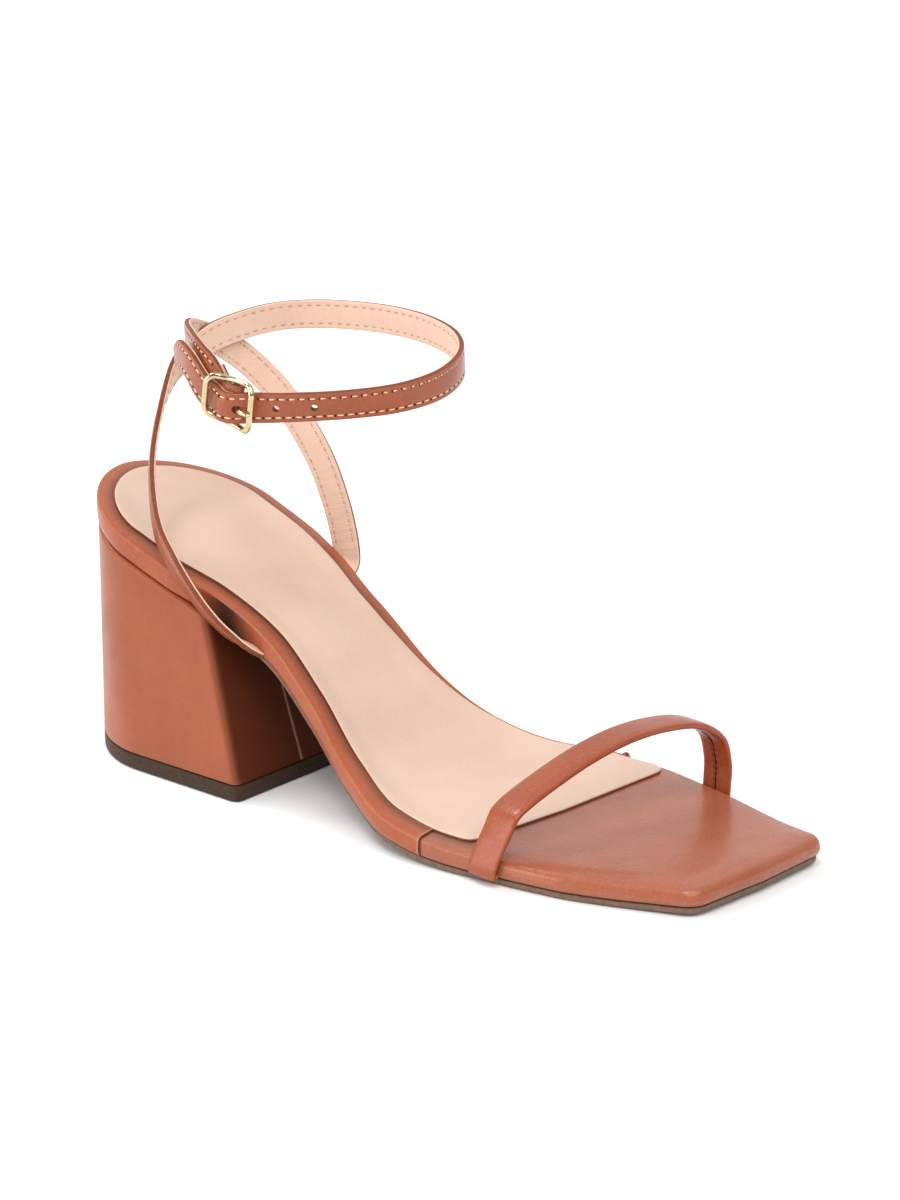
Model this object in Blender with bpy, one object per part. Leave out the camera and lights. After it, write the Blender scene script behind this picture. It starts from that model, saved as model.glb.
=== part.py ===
# Square-toe sandal for the right foot: block heel, one toe strap and a crossed ankle strap.
# Toe along +X, inner side of the foot along +Y, floor at Z = 0. Sizes are in millimetres.

import math

import bmesh
import bpy
import numpy as np
from mathutils import Matrix

MM = 0.001
GAP = 0.3                   # clearance where two pieces meet
SLOT_GAP = 0.35             # clearance of a strap end in its slot
SLOT_OPEN = 3.0             # slots are open to the outer side of the strap
SHARP_ANGLE = 40.0          # creases sharper than this stay hard in the shading
WELD = 0.00001              # merge distance in metres

# Footbed and sole
SEAT_ROUND = 28.0           # length of the rounded back of the seat
SEAT_POWER = 1.8            # 2 is an ellipse, less is slimmer
SEAT_STEPS = 14
SIDE_STEPS = 36
TOE_SKEW = 6.4              # the inner toe corner lies this much further forward
TOE_BOW = 1.0               # the toe's front edge bulges this much
TOE_CORNER = 4.2            # reach of the rounded toe corners
SKEW_FROM = 150.0
CORNER_STEPS = 6
FRONT_STEPS = 4
SOLE_COLUMNS = ("x", "outer", "inner", "top")
SOLE_SECTIONS = (           # station, half width on each side, height of the footbed's top
    (0, 0.0, 0.0, 78.9),
    (13, 23.2, 23.5, 73.6),
    (28, 29.8, 30.2, 67.4),
    (43, 29.4, 29.5, 61.3),
    (59, 26.7, 26.0, 54.9),
    (76, 25.0, 21.9, 45.5),
    (93, 27.5, 21.4, 32.3),
    (110, 32.5, 26.5, 18.7),
    (127, 37.0, 35.0, 10.2),
    (142, 37.6, 41.0, 7.5),
    (154, 36.7, 43.0, 7.1),
    (178, 34.0, 38.5, 7.1),
    (190, 31.0, 34.2, 7.2),
    (202, 27.3, 29.3, 7.5),
    (214.5, 23.6, 25.6, 8.0),
)
FOOTBED_THICK = ((0, 6.7), (98, 6.7), (140, 4.7), (220, 4.7))
RIM_ROUND = 2.4             # rounding of the wrapped rim
RIM_FLATTEN = 0.9           # the rim's rounding is this much lower than wide
RIM_STEPS = 5
RIM_UNDER = 1.0             # rounding of the rim's lower edge
RIM_UNDER_SHARE = 0.3
SEAT_DISH = 1.0             # hollow of the heel seat, fading out along the arch
DISH_FROM = 40.0
DISH_FADE = 90.0
DISH_STRIPS = 5
WRAP_STEP = 0.35            # the fore wrap laps over the rear wrap
WRAP_AT = 139.0
OUTSOLE_THICK = 2.1
OUTSOLE_INSET = 0.8
OUTSOLE_BEVEL = 0.6
OUTSOLE_BACK = 59.8
OUTSOLE_LEAD = 1.0          # the sides start this much ahead of the back edge

# Sock lining on the footbed
SOCK_THICK = 0.9
SOCK_EDGE = 0.4
SOCK_DISH = 0.8             # share of the seat's dish that the lining follows
SOCK_MARGIN_OUTER = ((0, 5.2), (220, 5.8))
SOCK_MARGIN_INNER = ((0, 5.2), (105, 5.3), (150, 2.2), (220, 2.2))
SOCK_FRONT_OUTER = 150.5
SOCK_FRONT_INNER = 160.0
SOCK_FRONT_BOW = 0.6
SOCK_CORNER = 3.5
SOCK_STEPS = 24

# Heel
LIFT_THICK = 4.4
LIFT_BEVEL = 0.5
HEEL_COLUMNS = ("back", "round", "half", "front", "half_front")
HEEL_TOP = (0.9, 27.5, 29.0, 58.3, 28.0)
HEEL_FOOT = (-2.5, 35.0, 31.4, 72.0, 33.4)
HEEL_CORNER = 3.4           # rounding of the heel's front corners
HEEL_EDGE = 0.6
HEEL_LEVELS = (0.013, 0.35, 0.7, 1.0)
HEEL_STEPS = 6

# Toe strap
TOE_STRAP_WIDTH = 9.8
TOE_STRAP_SLANT = -0.23     # the strap's width runs this much outwards per unit of length
TOE_STRAP_DOME = 9          # points over the padded outer face
PAD_SINK = 0.3              # the dome starts this share of the half thickness below the middle
PAD_POWER = 0.75            # 1 is an ellipse, less is fuller
PAD_FLAT = (-0.88, -0.3, 0.3, 0.88)
TOE_STRAP_KNEES = (5, 12)   # route rows where the strap turns from wall to bridge
TOE_STRAP_STEPS = (14, 22, 14)
TOE_SLOT_STEPS = 9
TOE_STRAP_COLUMNS = ("x", "y", "z", "thick")
TOE_STRAP_ROUTE = (
    (157.9, -31.0, 3.15, 1.3),
    (157.9, -34.5, 3.2, 1.3),
    (157.9, -36.9, 4.1, 1.4),
    (158.0, -37.75, 6.4, 1.7),
    (158.5, -36.0, 9.6, 2.3),
    (159.2, -32.6, 14.0, 2.6),
    (160.2, -28.0, 17.9, 2.7),
    (162.2, -18.8, 21.8, 2.7),
    (165.3, -5.8, 26.0, 2.7),
    (168.4, 7.3, 28.4, 2.7),
    (171.3, 20.0, 28.2, 2.7),
    (173.9, 31.0, 25.5, 2.7),
    (175.7, 38.5, 20.3, 2.6),
    (176.3, 41.3, 14.0, 2.3),
    (176.3, 41.2, 8.4, 1.8),
    (176.2, 39.8, 4.4, 1.4),
    (176.1, 37.2, 3.2, 1.3),
    (176.0, 33.6, 3.15, 1.3),
)

# Ankle strap: two straps, each with the route of its middle, the compass bearing of its outer face
# and how far that face looks down
STRAP_WIDTH = 8.2
STRAP_THICK = 1.7
STRAP_EDGE = 0.35
STRAP_STEP = 4.0            # spacing of the sections along a free stretch
BEND_STEP = 1.5             # spacing near the buckle
ROOT_STEPS = 10             # sections over the lasted end
ROOT_ROW = 4                # route row that is clear of the sole
STRAP_COLUMNS = ("x", "y", "z", "face", "dip")
LONG_STRAP_ROUTE = (
    (78.6, -18.5, 38.5, 180, 53),
    (78.4, -22.5, 38.5, 180, 53),
    (76.6, -26.4, 40.1, 200, 50),
    (73.4, -28.7, 42.0, 222, 42),
    (68.0, -30.0, 45.1, 235, 30),
    (60.5, -31.4, 51.3, 244, 17),
    (49.8, -30.5, 62.1, 247, 0),
    (41.8, -28.0, 69.2, 242, 0),
    (35.0, -23.6, 78.9, 232, 0),
    (30.4, -18.6, 89.0, 228, 0),
    (28.7, -12.5, 101.5, 222, 0),
    (28.7, -5.6, 110.6, 200, 0),
    (29.7, 5.6, 116.3, 170, 0),
    (33.6, 14.6, 119.3, 156, 0),
    (39.0, 22.8, 121.2, 146, 0),
    (46.4, 30.5, 121.7, 128, 0),
    (56.8, 35.9, 121.5, 110, 0),
    (69.8, 38.2, 120.9, 92, 0),
    (83.9, 36.6, 119.6, 70, 0),
    (97.2, 30.6, 117.6, 45, 0),
    (106.9, 20.1, 115.1, 23, 0),
    (110.8, 6.5, 112.4, 2, 0),
    (108.4, -7.3, 110.7, -20, 0),
    (100.3, -18.8, 109.8, -46, 0),
    (88.9, -26.7, 109.0, -64, 0),
    (80.5, -30.3, 108.5, -77, 0),
    (73.5, -32.0, 108.6, -88, 0),
    (65.0, -32.1, 111.1, -100, 0),
    (57.0, -29.8, 116.7, -112, 0),
    (50.5, -26.2, 118.2, -119, 0),
    (44.8, -22.4, 116.9, -123, 0),
)
SHORT_STRAP_ROUTE = (
    (58.9, 15.6, 49.8, 180, 65),
    (58.9, 20.5, 49.8, 180, 65),
    (58.9, 25.4, 50.1, 150, 62),
    (58.5, 28.4, 51.5, 118, 36),
    (57.9, 29.5, 54.6, 107, 10),
    (56.9, 29.7, 59.5, 106, 2),
    (54.6, 29.2, 68.5, 106, 0),
    (49.8, 27.8, 81.5, 113, 0),
    (41.3, 24.3, 96.5, 128, 0),
    (34.3, 18.8, 107.0, 143, 0),
    (29.7, 10.8, 114.5, 160, 0),
    (28.2, 4.6, 117.3, 178, 0),
    (30.2, -1.0, 119.0, 208, 0),
    (33.5, -6.2, 119.6, 221, 0),
    (38.0, -11.2, 119.8, 227, 0),
    (42.5, -15.3, 120.0, 229, 0),
    (47.0, -19.0, 120.0, 232, 0),
    (51.3, -22.4, 119.8, 237, 0),
    (55.0, -25.0, 119.3, 242, 0),
)
TIP_LENGTH = 6.0            # the free end tapers over this length
TIP_WIDTH = 4.6
TIP_STEPS = 8

# Buckle, placed on the long strap: distances along the strap towards the toe, across it and out
BUCKLE_ROW = 26             # route row that the buckle's middle sits on
BUCKLE_LIFT = 0.7           # the frame hangs this much above the strap's middle
BUCKLE_HALF_LENGTH = 7.2
BUCKLE_HALF_WIDTH = 6.1
BUCKLE_CORNER = 2.6
BUCKLE_WIRE = 0.85
BUCKLE_BAR = 0.65
BUCKLE_RISE = 2.05          # end bars stand this far out from the strap's middle
BUCKLE_DROP = 1.95          # the middle bar lies this much lower
BUCKLE_ARC_STEPS = 5
RAIL_SHARES = (0.25, 0.5, 0.75)
WIRE_SMOOTH = 2             # bevel resolution of the wires
HUMP_RISE = 2.9             # the strap rises over the middle bar
HUMP_REACH = 3.8
HUMP_SPAN = 12.0
LEAF_THICK = 0.8            # skived end of the short strap, folded round the middle bar
LEAF_STEPS = 30
LEAF_SKIVE = (1, 3)         # leaf rows between which the strap thins
LEAF_ROUTE = (              # along, across, out
    (-15.2, 7.2, -5.9),
    (-10.2, 6.2, -3.4),
    (-7.4, 4.2, -2.3),
    (-5.4, 2.2, -1.5),
    (-3.6, 0.9, -0.5),
    (-1.8, 0.2, 0.95),
    (-0.7, 0.0, 1.42),
    (0.25, 0.0, 1.42),
    (1.05, 0.0, 0.95),
    (1.38, 0.0, 0.1),
    (1.05, 0.0, -0.75),
    (0.2, 0.0, -1.25),
    (-1.5, 0.0, -1.8),
    (-4.0, 1.0, -2.8),
    (-6.5, 2.8, -4.0),
    (-9.0, 4.8, -5.4),
)
PRONG_RADIUS = 0.6
PRONG_STEPS = 16
PRONG_ROUTE = (             # along, across, out
    (1.0, 0, 0.1),
    (2.3, 0, 0.35),
    (3.2, 0, 1.2),
    (3.8, 0, 2.6),
    (5.1, 0, 3.45),
    (7.2, 0, 3.95),
    (8.4, 0, 3.8),
)
PRONG_SLOT_MIDDLE = (1.7, 0.0, 0.8)
PRONG_SLOT_SIZE = (2.8, 2.1, 3.4)
HOLE_SIDES = 12
HOLE_DEPTH = 8.0
PRONG_HOLE_RADIUS = 1.35
PRONG_HOLE_AT = 3.1
HOLE_RADIUS = 0.75
HOLE_AIM = 1.0              # half span over which a hole's direction is taken
HOLES_AT = (12.0, 22.2)     # spare holes, by distance along the strap from the buckle's middle

LEATHER = (0.43, 0.15, 0.075)
NUDE = (0.78, 0.52, 0.40)
LIFT_BROWN = (0.045, 0.022, 0.016)
SOLE_BROWN = (0.17, 0.11, 0.085)
PALE_GOLD = (0.83, 0.66, 0.36)


def columns(rows, names):
    table = np.array(rows, float)
    return {name: table[:, i] for i, name in enumerate(names)}


def hermite(xs, ys, slopes, at):
    # cubic through the rows, with a given slope at each
    i = np.clip(np.searchsorted(xs, at, side="right") - 1, 0, len(xs) - 2)
    h = xs[i + 1] - xs[i]
    t = (at - xs[i]) / h
    a = (1 + 2 * t) * (1 - t) ** 2
    b = t * (1 - t) ** 2
    c = t * t * (3 - 2 * t)
    d = t * t * (t - 1)
    return a * ys[i] + b * h * slopes[i] + c * ys[i + 1] + d * h * slopes[i + 1]


def fair(xs, ys, at):
    # never overshoots its rows, so flat stretches stay flat
    steps = np.diff(ys) / np.diff(xs)
    slopes = np.zeros(len(xs))
    product = steps[:-1] * steps[1:]
    total = np.where(product > 0, steps[:-1] + steps[1:], 1.0)
    slopes[1:-1] = np.where(product > 0, 2 * product / total, 0.0)
    slopes[0] = steps[0]
    slopes[-1] = steps[-1]
    return hermite(np.asarray(xs, float), np.asarray(ys, float), slopes, np.asarray(at, float))


def chord(rows):
    return np.concatenate([[0.0], np.cumsum(np.linalg.norm(np.diff(rows[:, :3], axis=0), axis=1))])


def through(rows, at):
    # smooth curve through the rows, by distance along their chords
    reach = chord(rows)
    slopes = np.zeros_like(rows)
    slopes[1:-1] = (rows[2:] - rows[:-2]) / (reach[2:] - reach[:-2])[:, None]
    slopes[0] = (rows[1] - rows[0]) / (reach[1] - reach[0])
    slopes[-1] = (rows[-1] - rows[-2]) / (reach[-1] - reach[-2])
    return np.stack([hermite(reach, rows[:, k], slopes[:, k], at) for k in range(rows.shape[1])], -1)


def unit(v):
    return v / np.linalg.norm(v, axis=-1, keepdims=True)


SOLE = columns(SOLE_SECTIONS, SOLE_COLUMNS)


def sole_top(x):
    return fair(SOLE["x"], SOLE["top"], np.clip(x, SOLE["x"][0], SOLE["x"][-1]))


def footbed_under(x):
    thick = np.array(FOOTBED_THICK)
    return sole_top(x) - np.interp(x, thick[:, 0], thick[:, 1])


def half_width(station, side):
    return fair(SOLE["x"][2:], SOLE[side][2:], station)


def skewed(station, sign):
    # the toe is cut at a slant
    share = np.clip((station - SKEW_FROM) / (SOLE["x"][-1] - SKEW_FROM), 0, 1)
    return station + sign * TOE_SKEW / 2 * share ** 2


def bend(start, corner, end, count):
    # rounded corner between two straight runs
    t = np.linspace(0, 1, count)[:, None]
    return (1 - t) ** 2 * start + 2 * t * (1 - t) * corner + t * t * end


def straight(start, end, count):
    # evenly spaced points after the start, up to the end
    return start + np.linspace(0, 1, count)[1:, None] * (end - start)


def toward(start, end, distance):
    return start + (end - start) * distance / np.linalg.norm(end - start)


def rounded_back(back, length, half):
    # back end of the seat or heel, from the middle round to the side
    turn = np.linspace(0, math.pi / 2, SEAT_STEPS)
    x = back + length * (1 - np.cos(turn) ** (2 / SEAT_POWER))
    return np.stack([x, half * np.sin(turn) ** (2 / SEAT_POWER)], -1)


def sole_side(side, sign):
    # plan outline of one side, from the middle of the back to the middle of the toe
    back = rounded_back(0.0, SEAT_ROUND, half_width(SEAT_ROUND, side))
    last = SOLE["x"][-1]
    stations = np.linspace(SEAT_ROUND, last, SIDE_STEPS)[1:]
    run = np.stack([skewed(stations, sign), half_width(stations, side)], -1)
    run[:, 1] += WRAP_STEP * np.clip(stations - WRAP_AT, 0, 1)
    corner = run[-1]
    middle = np.array([last + TOE_BOW, 0.0])
    before = toward(corner, run[-2], TOE_CORNER)
    after = toward(corner, middle, TOE_CORNER)
    run = run[stations < last - TOE_CORNER]
    turn = bend(before, corner, after, CORNER_STEPS)
    points = np.concatenate([back, run, turn, straight(after, middle, FRONT_STEPS)])
    points[:, 1] *= sign
    return points


def closed_loop(outer, inner):
    # outer side forwards, inner side back again, sharing both ends
    return np.concatenate([outer, inner[-2:0:-1]])


def inset(loop, distance):
    ahead = np.roll(loop, -1, 0) - np.roll(loop, 1, 0)
    inward = unit(np.stack([-ahead[:, 1], ahead[:, 0]], -1))
    return loop + inward * distance


def with_height(loop, height):
    return np.concatenate([loop, height(loop[:, 0])[:, None]], 1)


def level(height):
    return lambda x: np.full_like(x, height)


def add_object(name, mesh, material):
    # a piece with a material is part of the sandal, one without is a cutter
    piece = bpy.data.objects.new(name, mesh)
    piece.parent = datum
    if material:
        parts.objects.link(piece)
        mesh.materials.append(material)
    else:
        cutters.objects.link(piece)
        piece.hide_render = True
        piece.display_type = "WIRE"
    return piece


def finish_mesh(name, shape, material):
    mesh = bpy.data.meshes.new(name)
    bmesh.ops.recalc_face_normals(shape, faces=shape.faces)
    shape.to_mesh(mesh)
    shape.free()
    mesh.shade_smooth()
    mesh.set_sharp_from_angle(angle=math.radians(SHARP_ANGLE))
    return add_object(name, mesh, material)


def skin(name, verts, faces, material):
    shape = bmesh.new()
    points = [shape.verts.new(v * MM) for v in verts]
    for face in faces:
        shape.faces.new([points[i] for i in face])
    return finish_mesh(name, shape, material)


def paint(name, colour, roughness, metallic=0.0):
    material = bpy.data.materials.new(name)
    material.use_nodes = True
    shader = material.node_tree.nodes["Principled BSDF"]
    shader.inputs["Base Color"].default_value = (*colour, 1.0)
    shader.inputs["Roughness"].default_value = roughness
    shader.inputs["Metallic"].default_value = metallic
    return material


def combine(piece, other, operation):
    modifier = piece.modifiers.new(operation.lower() + "_" + other.name, "BOOLEAN")
    modifier.operation = operation
    modifier.solver = "EXACT"
    modifier.object = other


def walls(count, rings):
    # faces between rings of the same count
    faces = []
    for base in range(0, (rings - 1) * count, count):
        for i in range(count):
            j = (i + 1) % count
            faces.append((base + i, base + j, base + count + j, base + count + i))
    return faces


def loft(name, rings, material, top_dish=None, bottom_dish=None):
    # closed skin over rings of a loop; its ends are closed by strips from side to side
    count = len(rings[0])
    verts = [v for ring in rings for v in ring]
    faces = walls(count, len(rings))
    for base, dish in ((0, top_dish), ((len(rings) - 1) * count, bottom_dish)):
        strips = DISH_STRIPS if dish else 1
        rows = []
        for i in range(count // 2 + 1):
            left = base + i
            right = base + (count - i) % count
            row = [left]
            if left != right:
                for share in np.linspace(0, 1, strips + 1)[1:-1]:
                    point = verts[left] * (1 - share) + verts[right] * share
                    point[2] -= dish(point[0]) * 4 * share * (1 - share)
                    row.append(len(verts))
                    verts.append(point)
                row.append(right)
            rows.append(row)
        for one, two in zip(rows, rows[1:]):
            if len(one) == 1:
                faces += [(one[0], two[m], two[m + 1]) for m in range(len(two) - 1)]
            elif len(two) == 1:
                faces += [(two[0], one[m + 1], one[m]) for m in range(len(one) - 1)]
            else:
                faces += [(one[m], two[m], two[m + 1], one[m + 1]) for m in range(len(one) - 1)]
    return skin(name, verts, faces, material)


def seat_dish(x):
    return SEAT_DISH * (1 - np.clip((x - DISH_FROM) / DISH_FADE, 0, 1))


def sock_dish(x):
    return SOCK_DISH * seat_dish(x)


def make_footbed():
    loop = closed_loop(sole_side("outer", -1), sole_side("inner", 1))
    rings = []
    for turn in np.linspace(0, math.pi / 2, RIM_STEPS):
        drop = RIM_ROUND * RIM_FLATTEN * (1 - math.cos(turn))
        edge = inset(loop, RIM_ROUND * (1 - math.sin(turn)))
        rings.append(with_height(edge, lambda x: sole_top(x) - drop))
    eased = RIM_UNDER * RIM_UNDER_SHARE
    for step, lift in ((0.0, RIM_UNDER), (eased, eased), (RIM_UNDER, 0.0)):
        rings.append(with_height(inset(loop, step), lambda x: footbed_under(x) + lift))
    return loft("footbed", rings, leather, top_dish=seat_dish)


def outsole_side(side, sign):
    # from the middle of the straight back edge, behind the heel breast, to the middle of the toe
    run = sole_side(side, sign)
    run = run[run[:, 0] > OUTSOLE_BACK + OUTSOLE_LEAD]
    middle = np.array([OUTSOLE_BACK, 0.0])
    corner = np.array([OUTSOLE_BACK, sign * half_width(OUTSOLE_BACK, side)])
    return np.concatenate([[middle], straight(middle, corner, FRONT_STEPS), run])


def make_outsole():
    loop = closed_loop(outsole_side("outer", -1), outsole_side("inner", 1))
    rim = inset(loop, OUTSOLE_INSET)
    rim[:, 0] = np.maximum(rim[:, 0], OUTSOLE_BACK)
    tread = inset(loop, OUTSOLE_INSET + OUTSOLE_BEVEL)
    tread[:, 0] = np.maximum(tread[:, 0], OUTSOLE_BACK + OUTSOLE_BEVEL / 2)

    def upper(x):
        return footbed_under(x) - GAP

    def lower(x):
        # the forefoot treads flat on the floor
        return np.maximum(upper(x) - OUTSOLE_THICK, 0.0)

    def shoulder(x):
        return lower(x) + OUTSOLE_BEVEL

    rings = [with_height(rim, upper), with_height(rim, shoulder), with_height(tread, lower)]
    return loft("outsole", rings, sole_rubber)


def sock_side(side, sign, margin, front):
    table = np.array(margin)
    edge = table[0, 1]
    back = rounded_back(edge, SEAT_ROUND - edge, half_width(SEAT_ROUND, side) - edge)
    x = np.linspace(SEAT_ROUND, front, SOCK_STEPS)[1:]
    run = np.stack([x, half_width(x, side) - np.interp(x, table[:, 0], table[:, 1])], -1)
    corner = run[-1]
    middle = np.array([(SOCK_FRONT_OUTER + SOCK_FRONT_INNER) / 2 + SOCK_FRONT_BOW, 0.0])
    before = toward(corner, run[-2], SOCK_CORNER)
    after = toward(corner, middle, SOCK_CORNER)
    turn = bend(before, corner, after, CORNER_STEPS)
    points = np.concatenate([back, run[:-1], turn, straight(after, middle, FRONT_STEPS)])
    points[:, 1] *= sign
    return points


def make_sock():
    loop = closed_loop(sock_side("outer", -1, SOCK_MARGIN_OUTER, SOCK_FRONT_OUTER),
                       sock_side("inner", 1, SOCK_MARGIN_INNER, SOCK_FRONT_INNER))

    def raised(share):
        return lambda x: sole_top(x) + GAP + SOCK_THICK * share

    rings = [with_height(inset(loop, SOCK_EDGE), raised(1.0)),
             with_height(loop, raised(0.5)),
             with_height(loop, raised(0.0))]
    return loft("sock_lining", rings, nude_leather, top_dish=sock_dish, bottom_dish=sock_dish)


def heel_loop(row, shrink=0.0):
    size = dict(zip(HEEL_COLUMNS, row))
    back = rounded_back(size["back"], size["round"], size["half"])
    corner = np.array([size["front"], size["half_front"]])
    middle = np.array([size["front"], 0.0])
    before = toward(corner, back[-1], HEEL_CORNER)
    after = toward(corner, middle, HEEL_CORNER)
    run = straight(back[-1], before, HEEL_STEPS)[:-1]
    turn = bend(before, corner, after, CORNER_STEPS)
    side = np.concatenate([back, run, turn, straight(after, middle, FRONT_STEPS)])
    return inset(closed_loop(side * (1, -1), side), shrink)


def make_heel():
    def seat(x):
        return footbed_under(x) - GAP

    crown = with_height(heel_loop(HEEL_TOP), seat)
    base = with_height(heel_loop(HEEL_FOOT), level(LIFT_THICK + GAP))
    rings = [with_height(heel_loop(HEEL_TOP, HEEL_EDGE), seat)]
    rings += [crown * (1 - share) + base * share for share in HEEL_LEVELS]
    return loft("heel_block", rings, leather)


def make_lift():
    loop = heel_loop(HEEL_FOOT)
    rings = [with_height(loop, level(LIFT_THICK)),
             with_height(loop, level(LIFT_BEVEL)),
             with_height(heel_loop(HEEL_FOOT, LIFT_BEVEL), level(0.0))]
    return loft("heel_lift", rings, lift_rubber)


def sweep(name, centre, face, section, material):
    # section(i) gives the (across, out) points of step i along the route
    ahead = unit(np.gradient(centre, axis=0))
    out = unit(face - ahead * (face * ahead).sum(-1, keepdims=True))
    across = np.cross(out, ahead)
    verts = []
    for i in range(len(centre)):
        verts += [centre[i] + a * across[i] + o * out[i] for a, o in section(i)]
    count = len(section(0))
    faces = walls(count, len(centre))
    faces.append(tuple(range(count)))
    faces.append(tuple(range(len(verts) - count, len(verts))))
    return skin(name, verts, faces, material)


def flat_section(width, thick):
    # strap section: a flat band with eased edges
    w = width / 2
    t = thick / 2
    e = STRAP_EDGE
    corner = [(w, t - e), (w - e, t), (e - w, t), (-w, t - e)]
    return corner + [(-a, -o) for a, o in corner]


def padded_section(width, thick):
    # toe strap section: flat inside, domed outside
    w = width / 2
    t = thick / 2
    dome = [(w * math.cos(a), t * ((1 + PAD_SINK) * math.sin(a) ** PAD_POWER - PAD_SINK))
            for a in np.linspace(0, math.pi, TOE_STRAP_DOME)]
    return dome + [(w * share, -t) for share in PAD_FLAT]


def facing(rows):
    # direction of the strap's outer face at each row
    table = columns(rows, STRAP_COLUMNS)
    face = np.radians(table["face"])
    dip = np.radians(table["dip"])
    return np.stack([np.cos(dip) * np.cos(face), np.cos(dip) * np.sin(face), -np.sin(dip)], -1)


def slot_cutter(name, centre, face, width, thick):
    # room for a lasted strap end; the first step is the buried end
    middle = centre.copy()
    middle[0] += unit(centre[0] - centre[1]) * SLOT_GAP

    def section(i):
        w = width / 2 + SLOT_GAP
        t = thick[i] / 2 + SLOT_GAP
        return [(w, -t), (w, SLOT_OPEN), (-w, SLOT_OPEN), (-w, -t)]

    return sweep(name, middle, face, section, None)


def make_toe_strap():
    rows = np.array(TOE_STRAP_ROUTE)
    reach = chord(rows)
    stops = (0.0, reach[TOE_STRAP_KNEES[0]], reach[TOE_STRAP_KNEES[1]], reach[-1])
    spans = [np.linspace(a, b, n) for a, b, n in zip(stops, stops[1:], TOE_STRAP_STEPS)]
    route = through(rows, np.concatenate([spans[0], spans[1][1:-1], spans[2]]))
    centre = route[:, :3]
    thick = route[:, TOE_STRAP_COLUMNS.index("thick")]
    lengthways = unit(np.array([1.0, TOE_STRAP_SLANT, 0.0]))
    face = np.cross(lengthways, unit(np.gradient(centre, axis=0)))
    sweep("toe_strap", centre, face, lambda i: padded_section(TOE_STRAP_WIDTH, thick[i]), leather)
    slots = []
    for name, order in (("slot_toe_outer", 1), ("slot_toe_inner", -1)):
        end = slice(None, TOE_SLOT_STEPS)
        slots.append(slot_cutter(name, centre[::order][end], face[::order][end],
                                 TOE_STRAP_WIDTH, thick[::order][end]))
    return slots


def strap_route(rows, steps):
    route = through(np.concatenate([np.array(rows, float)[:, :3], facing(rows)], 1), steps)
    return route[:, :3], unit(route[:, 3:])


def strap_slot(name, rows):
    steps = np.linspace(0, chord(np.array(rows))[ROOT_ROW], ROOT_STEPS)
    centre, face = strap_route(rows, steps)
    return slot_cutter(name, centre, face, STRAP_WIDTH, np.full(len(steps), STRAP_THICK))


def buckle_axes():
    # the buckle's middle, and its directions towards the toe, across and out
    rows = np.array(LONG_STRAP_ROUTE, float)
    along = unit(rows[BUCKLE_ROW - 1, :3] - rows[BUCKLE_ROW + 1, :3])
    face = facing(rows)[BUCKLE_ROW]
    out = unit(face - along * (face @ along))
    return rows[BUCKLE_ROW, :3], along, np.cross(out, along), out


def in_buckle(points):
    origin, along, across, out = buckle_axes()
    p = np.asarray(points, float)
    return origin + p[:, :1] * along + p[:, 1:2] * across + p[:, 2:3] * out


def wire(name, points, radius, closed=False):
    # round wire along the points, made a mesh
    path = bpy.data.curves.new(name, "CURVE")
    path.dimensions = "3D"
    path.bevel_depth = radius * MM
    path.bevel_resolution = WIRE_SMOOTH
    path.use_fill_caps = True
    spline = path.splines.new("POLY")
    spline.points.add(len(points) - 1)
    for target, point in zip(spline.points, points * MM):
        target.co = (*point, 1.0)
    spline.use_cyclic_u = closed
    guide = bpy.data.objects.new(name + "_path", path)
    cutters.objects.link(guide)
    evaluated = guide.evaluated_get(bpy.context.evaluated_depsgraph_get())
    shape = bmesh.new()
    tube = bpy.data.meshes.new_from_object(evaluated)
    shape.from_mesh(tube)
    bpy.data.objects.remove(guide, do_unlink=True)
    bpy.data.meshes.remove(tube)
    bmesh.ops.remove_doubles(shape, verts=shape.verts, dist=WELD)
    return shape


def frame_out(along):
    # the rails dip to the middle bar
    share = np.clip(np.abs(along) / BUCKLE_HALF_LENGTH, 0, 1)
    return BUCKLE_RISE - BUCKLE_DROP * (1 - share ** 2)


def frame_path():
    # rounded rectangle in the buckle's own axes, corner by corner
    a = BUCKLE_HALF_LENGTH - BUCKLE_CORNER
    b = BUCKLE_HALF_WIDTH - BUCKLE_CORNER
    points = []
    for quarter, (along, across) in enumerate(((a, b), (-a, b), (-a, -b), (a, -b))):
        start = quarter * math.pi / 2
        for turn in np.linspace(start, start + math.pi / 2, BUCKLE_ARC_STEPS):
            points.append((along + BUCKLE_CORNER * math.cos(turn), across + BUCKLE_CORNER * math.sin(turn)))
        if quarter % 2 == 0:
            rail = math.copysign(BUCKLE_HALF_WIDTH, across)
            points += [(along * (1 - 2 * share), rail) for share in RAIL_SHARES]
    path = np.array(points)
    return np.concatenate([path + (0.0, BUCKLE_LIFT), frame_out(path[:, :1])], 1)


def make_buckle():
    frame_wire = wire("frame", in_buckle(frame_path()), BUCKLE_WIRE, closed=True)
    frame = finish_mesh("buckle_frame", frame_wire, gold)
    ends = [(0.0, side * BUCKLE_HALF_WIDTH + BUCKLE_LIFT, frame_out(0.0)) for side in (-1, 0, 1)]
    bar = finish_mesh("buckle_bar", wire("bar", in_buckle(ends), BUCKLE_BAR), None)
    combine(frame, bar, "UNION")
    rows = np.array(PRONG_ROUTE, float)
    path = through(rows, np.linspace(0, chord(rows)[-1], PRONG_STEPS))
    finish_mesh("buckle_prong", wire("prong", in_buckle(path), PRONG_RADIUS), gold)


def turned(middle, along, across, out):
    # placement of a cutter on a strap
    place = np.eye(4)
    place[:3] = np.stack([along, across, out, middle * MM], -1)
    return Matrix(place.tolist())


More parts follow.
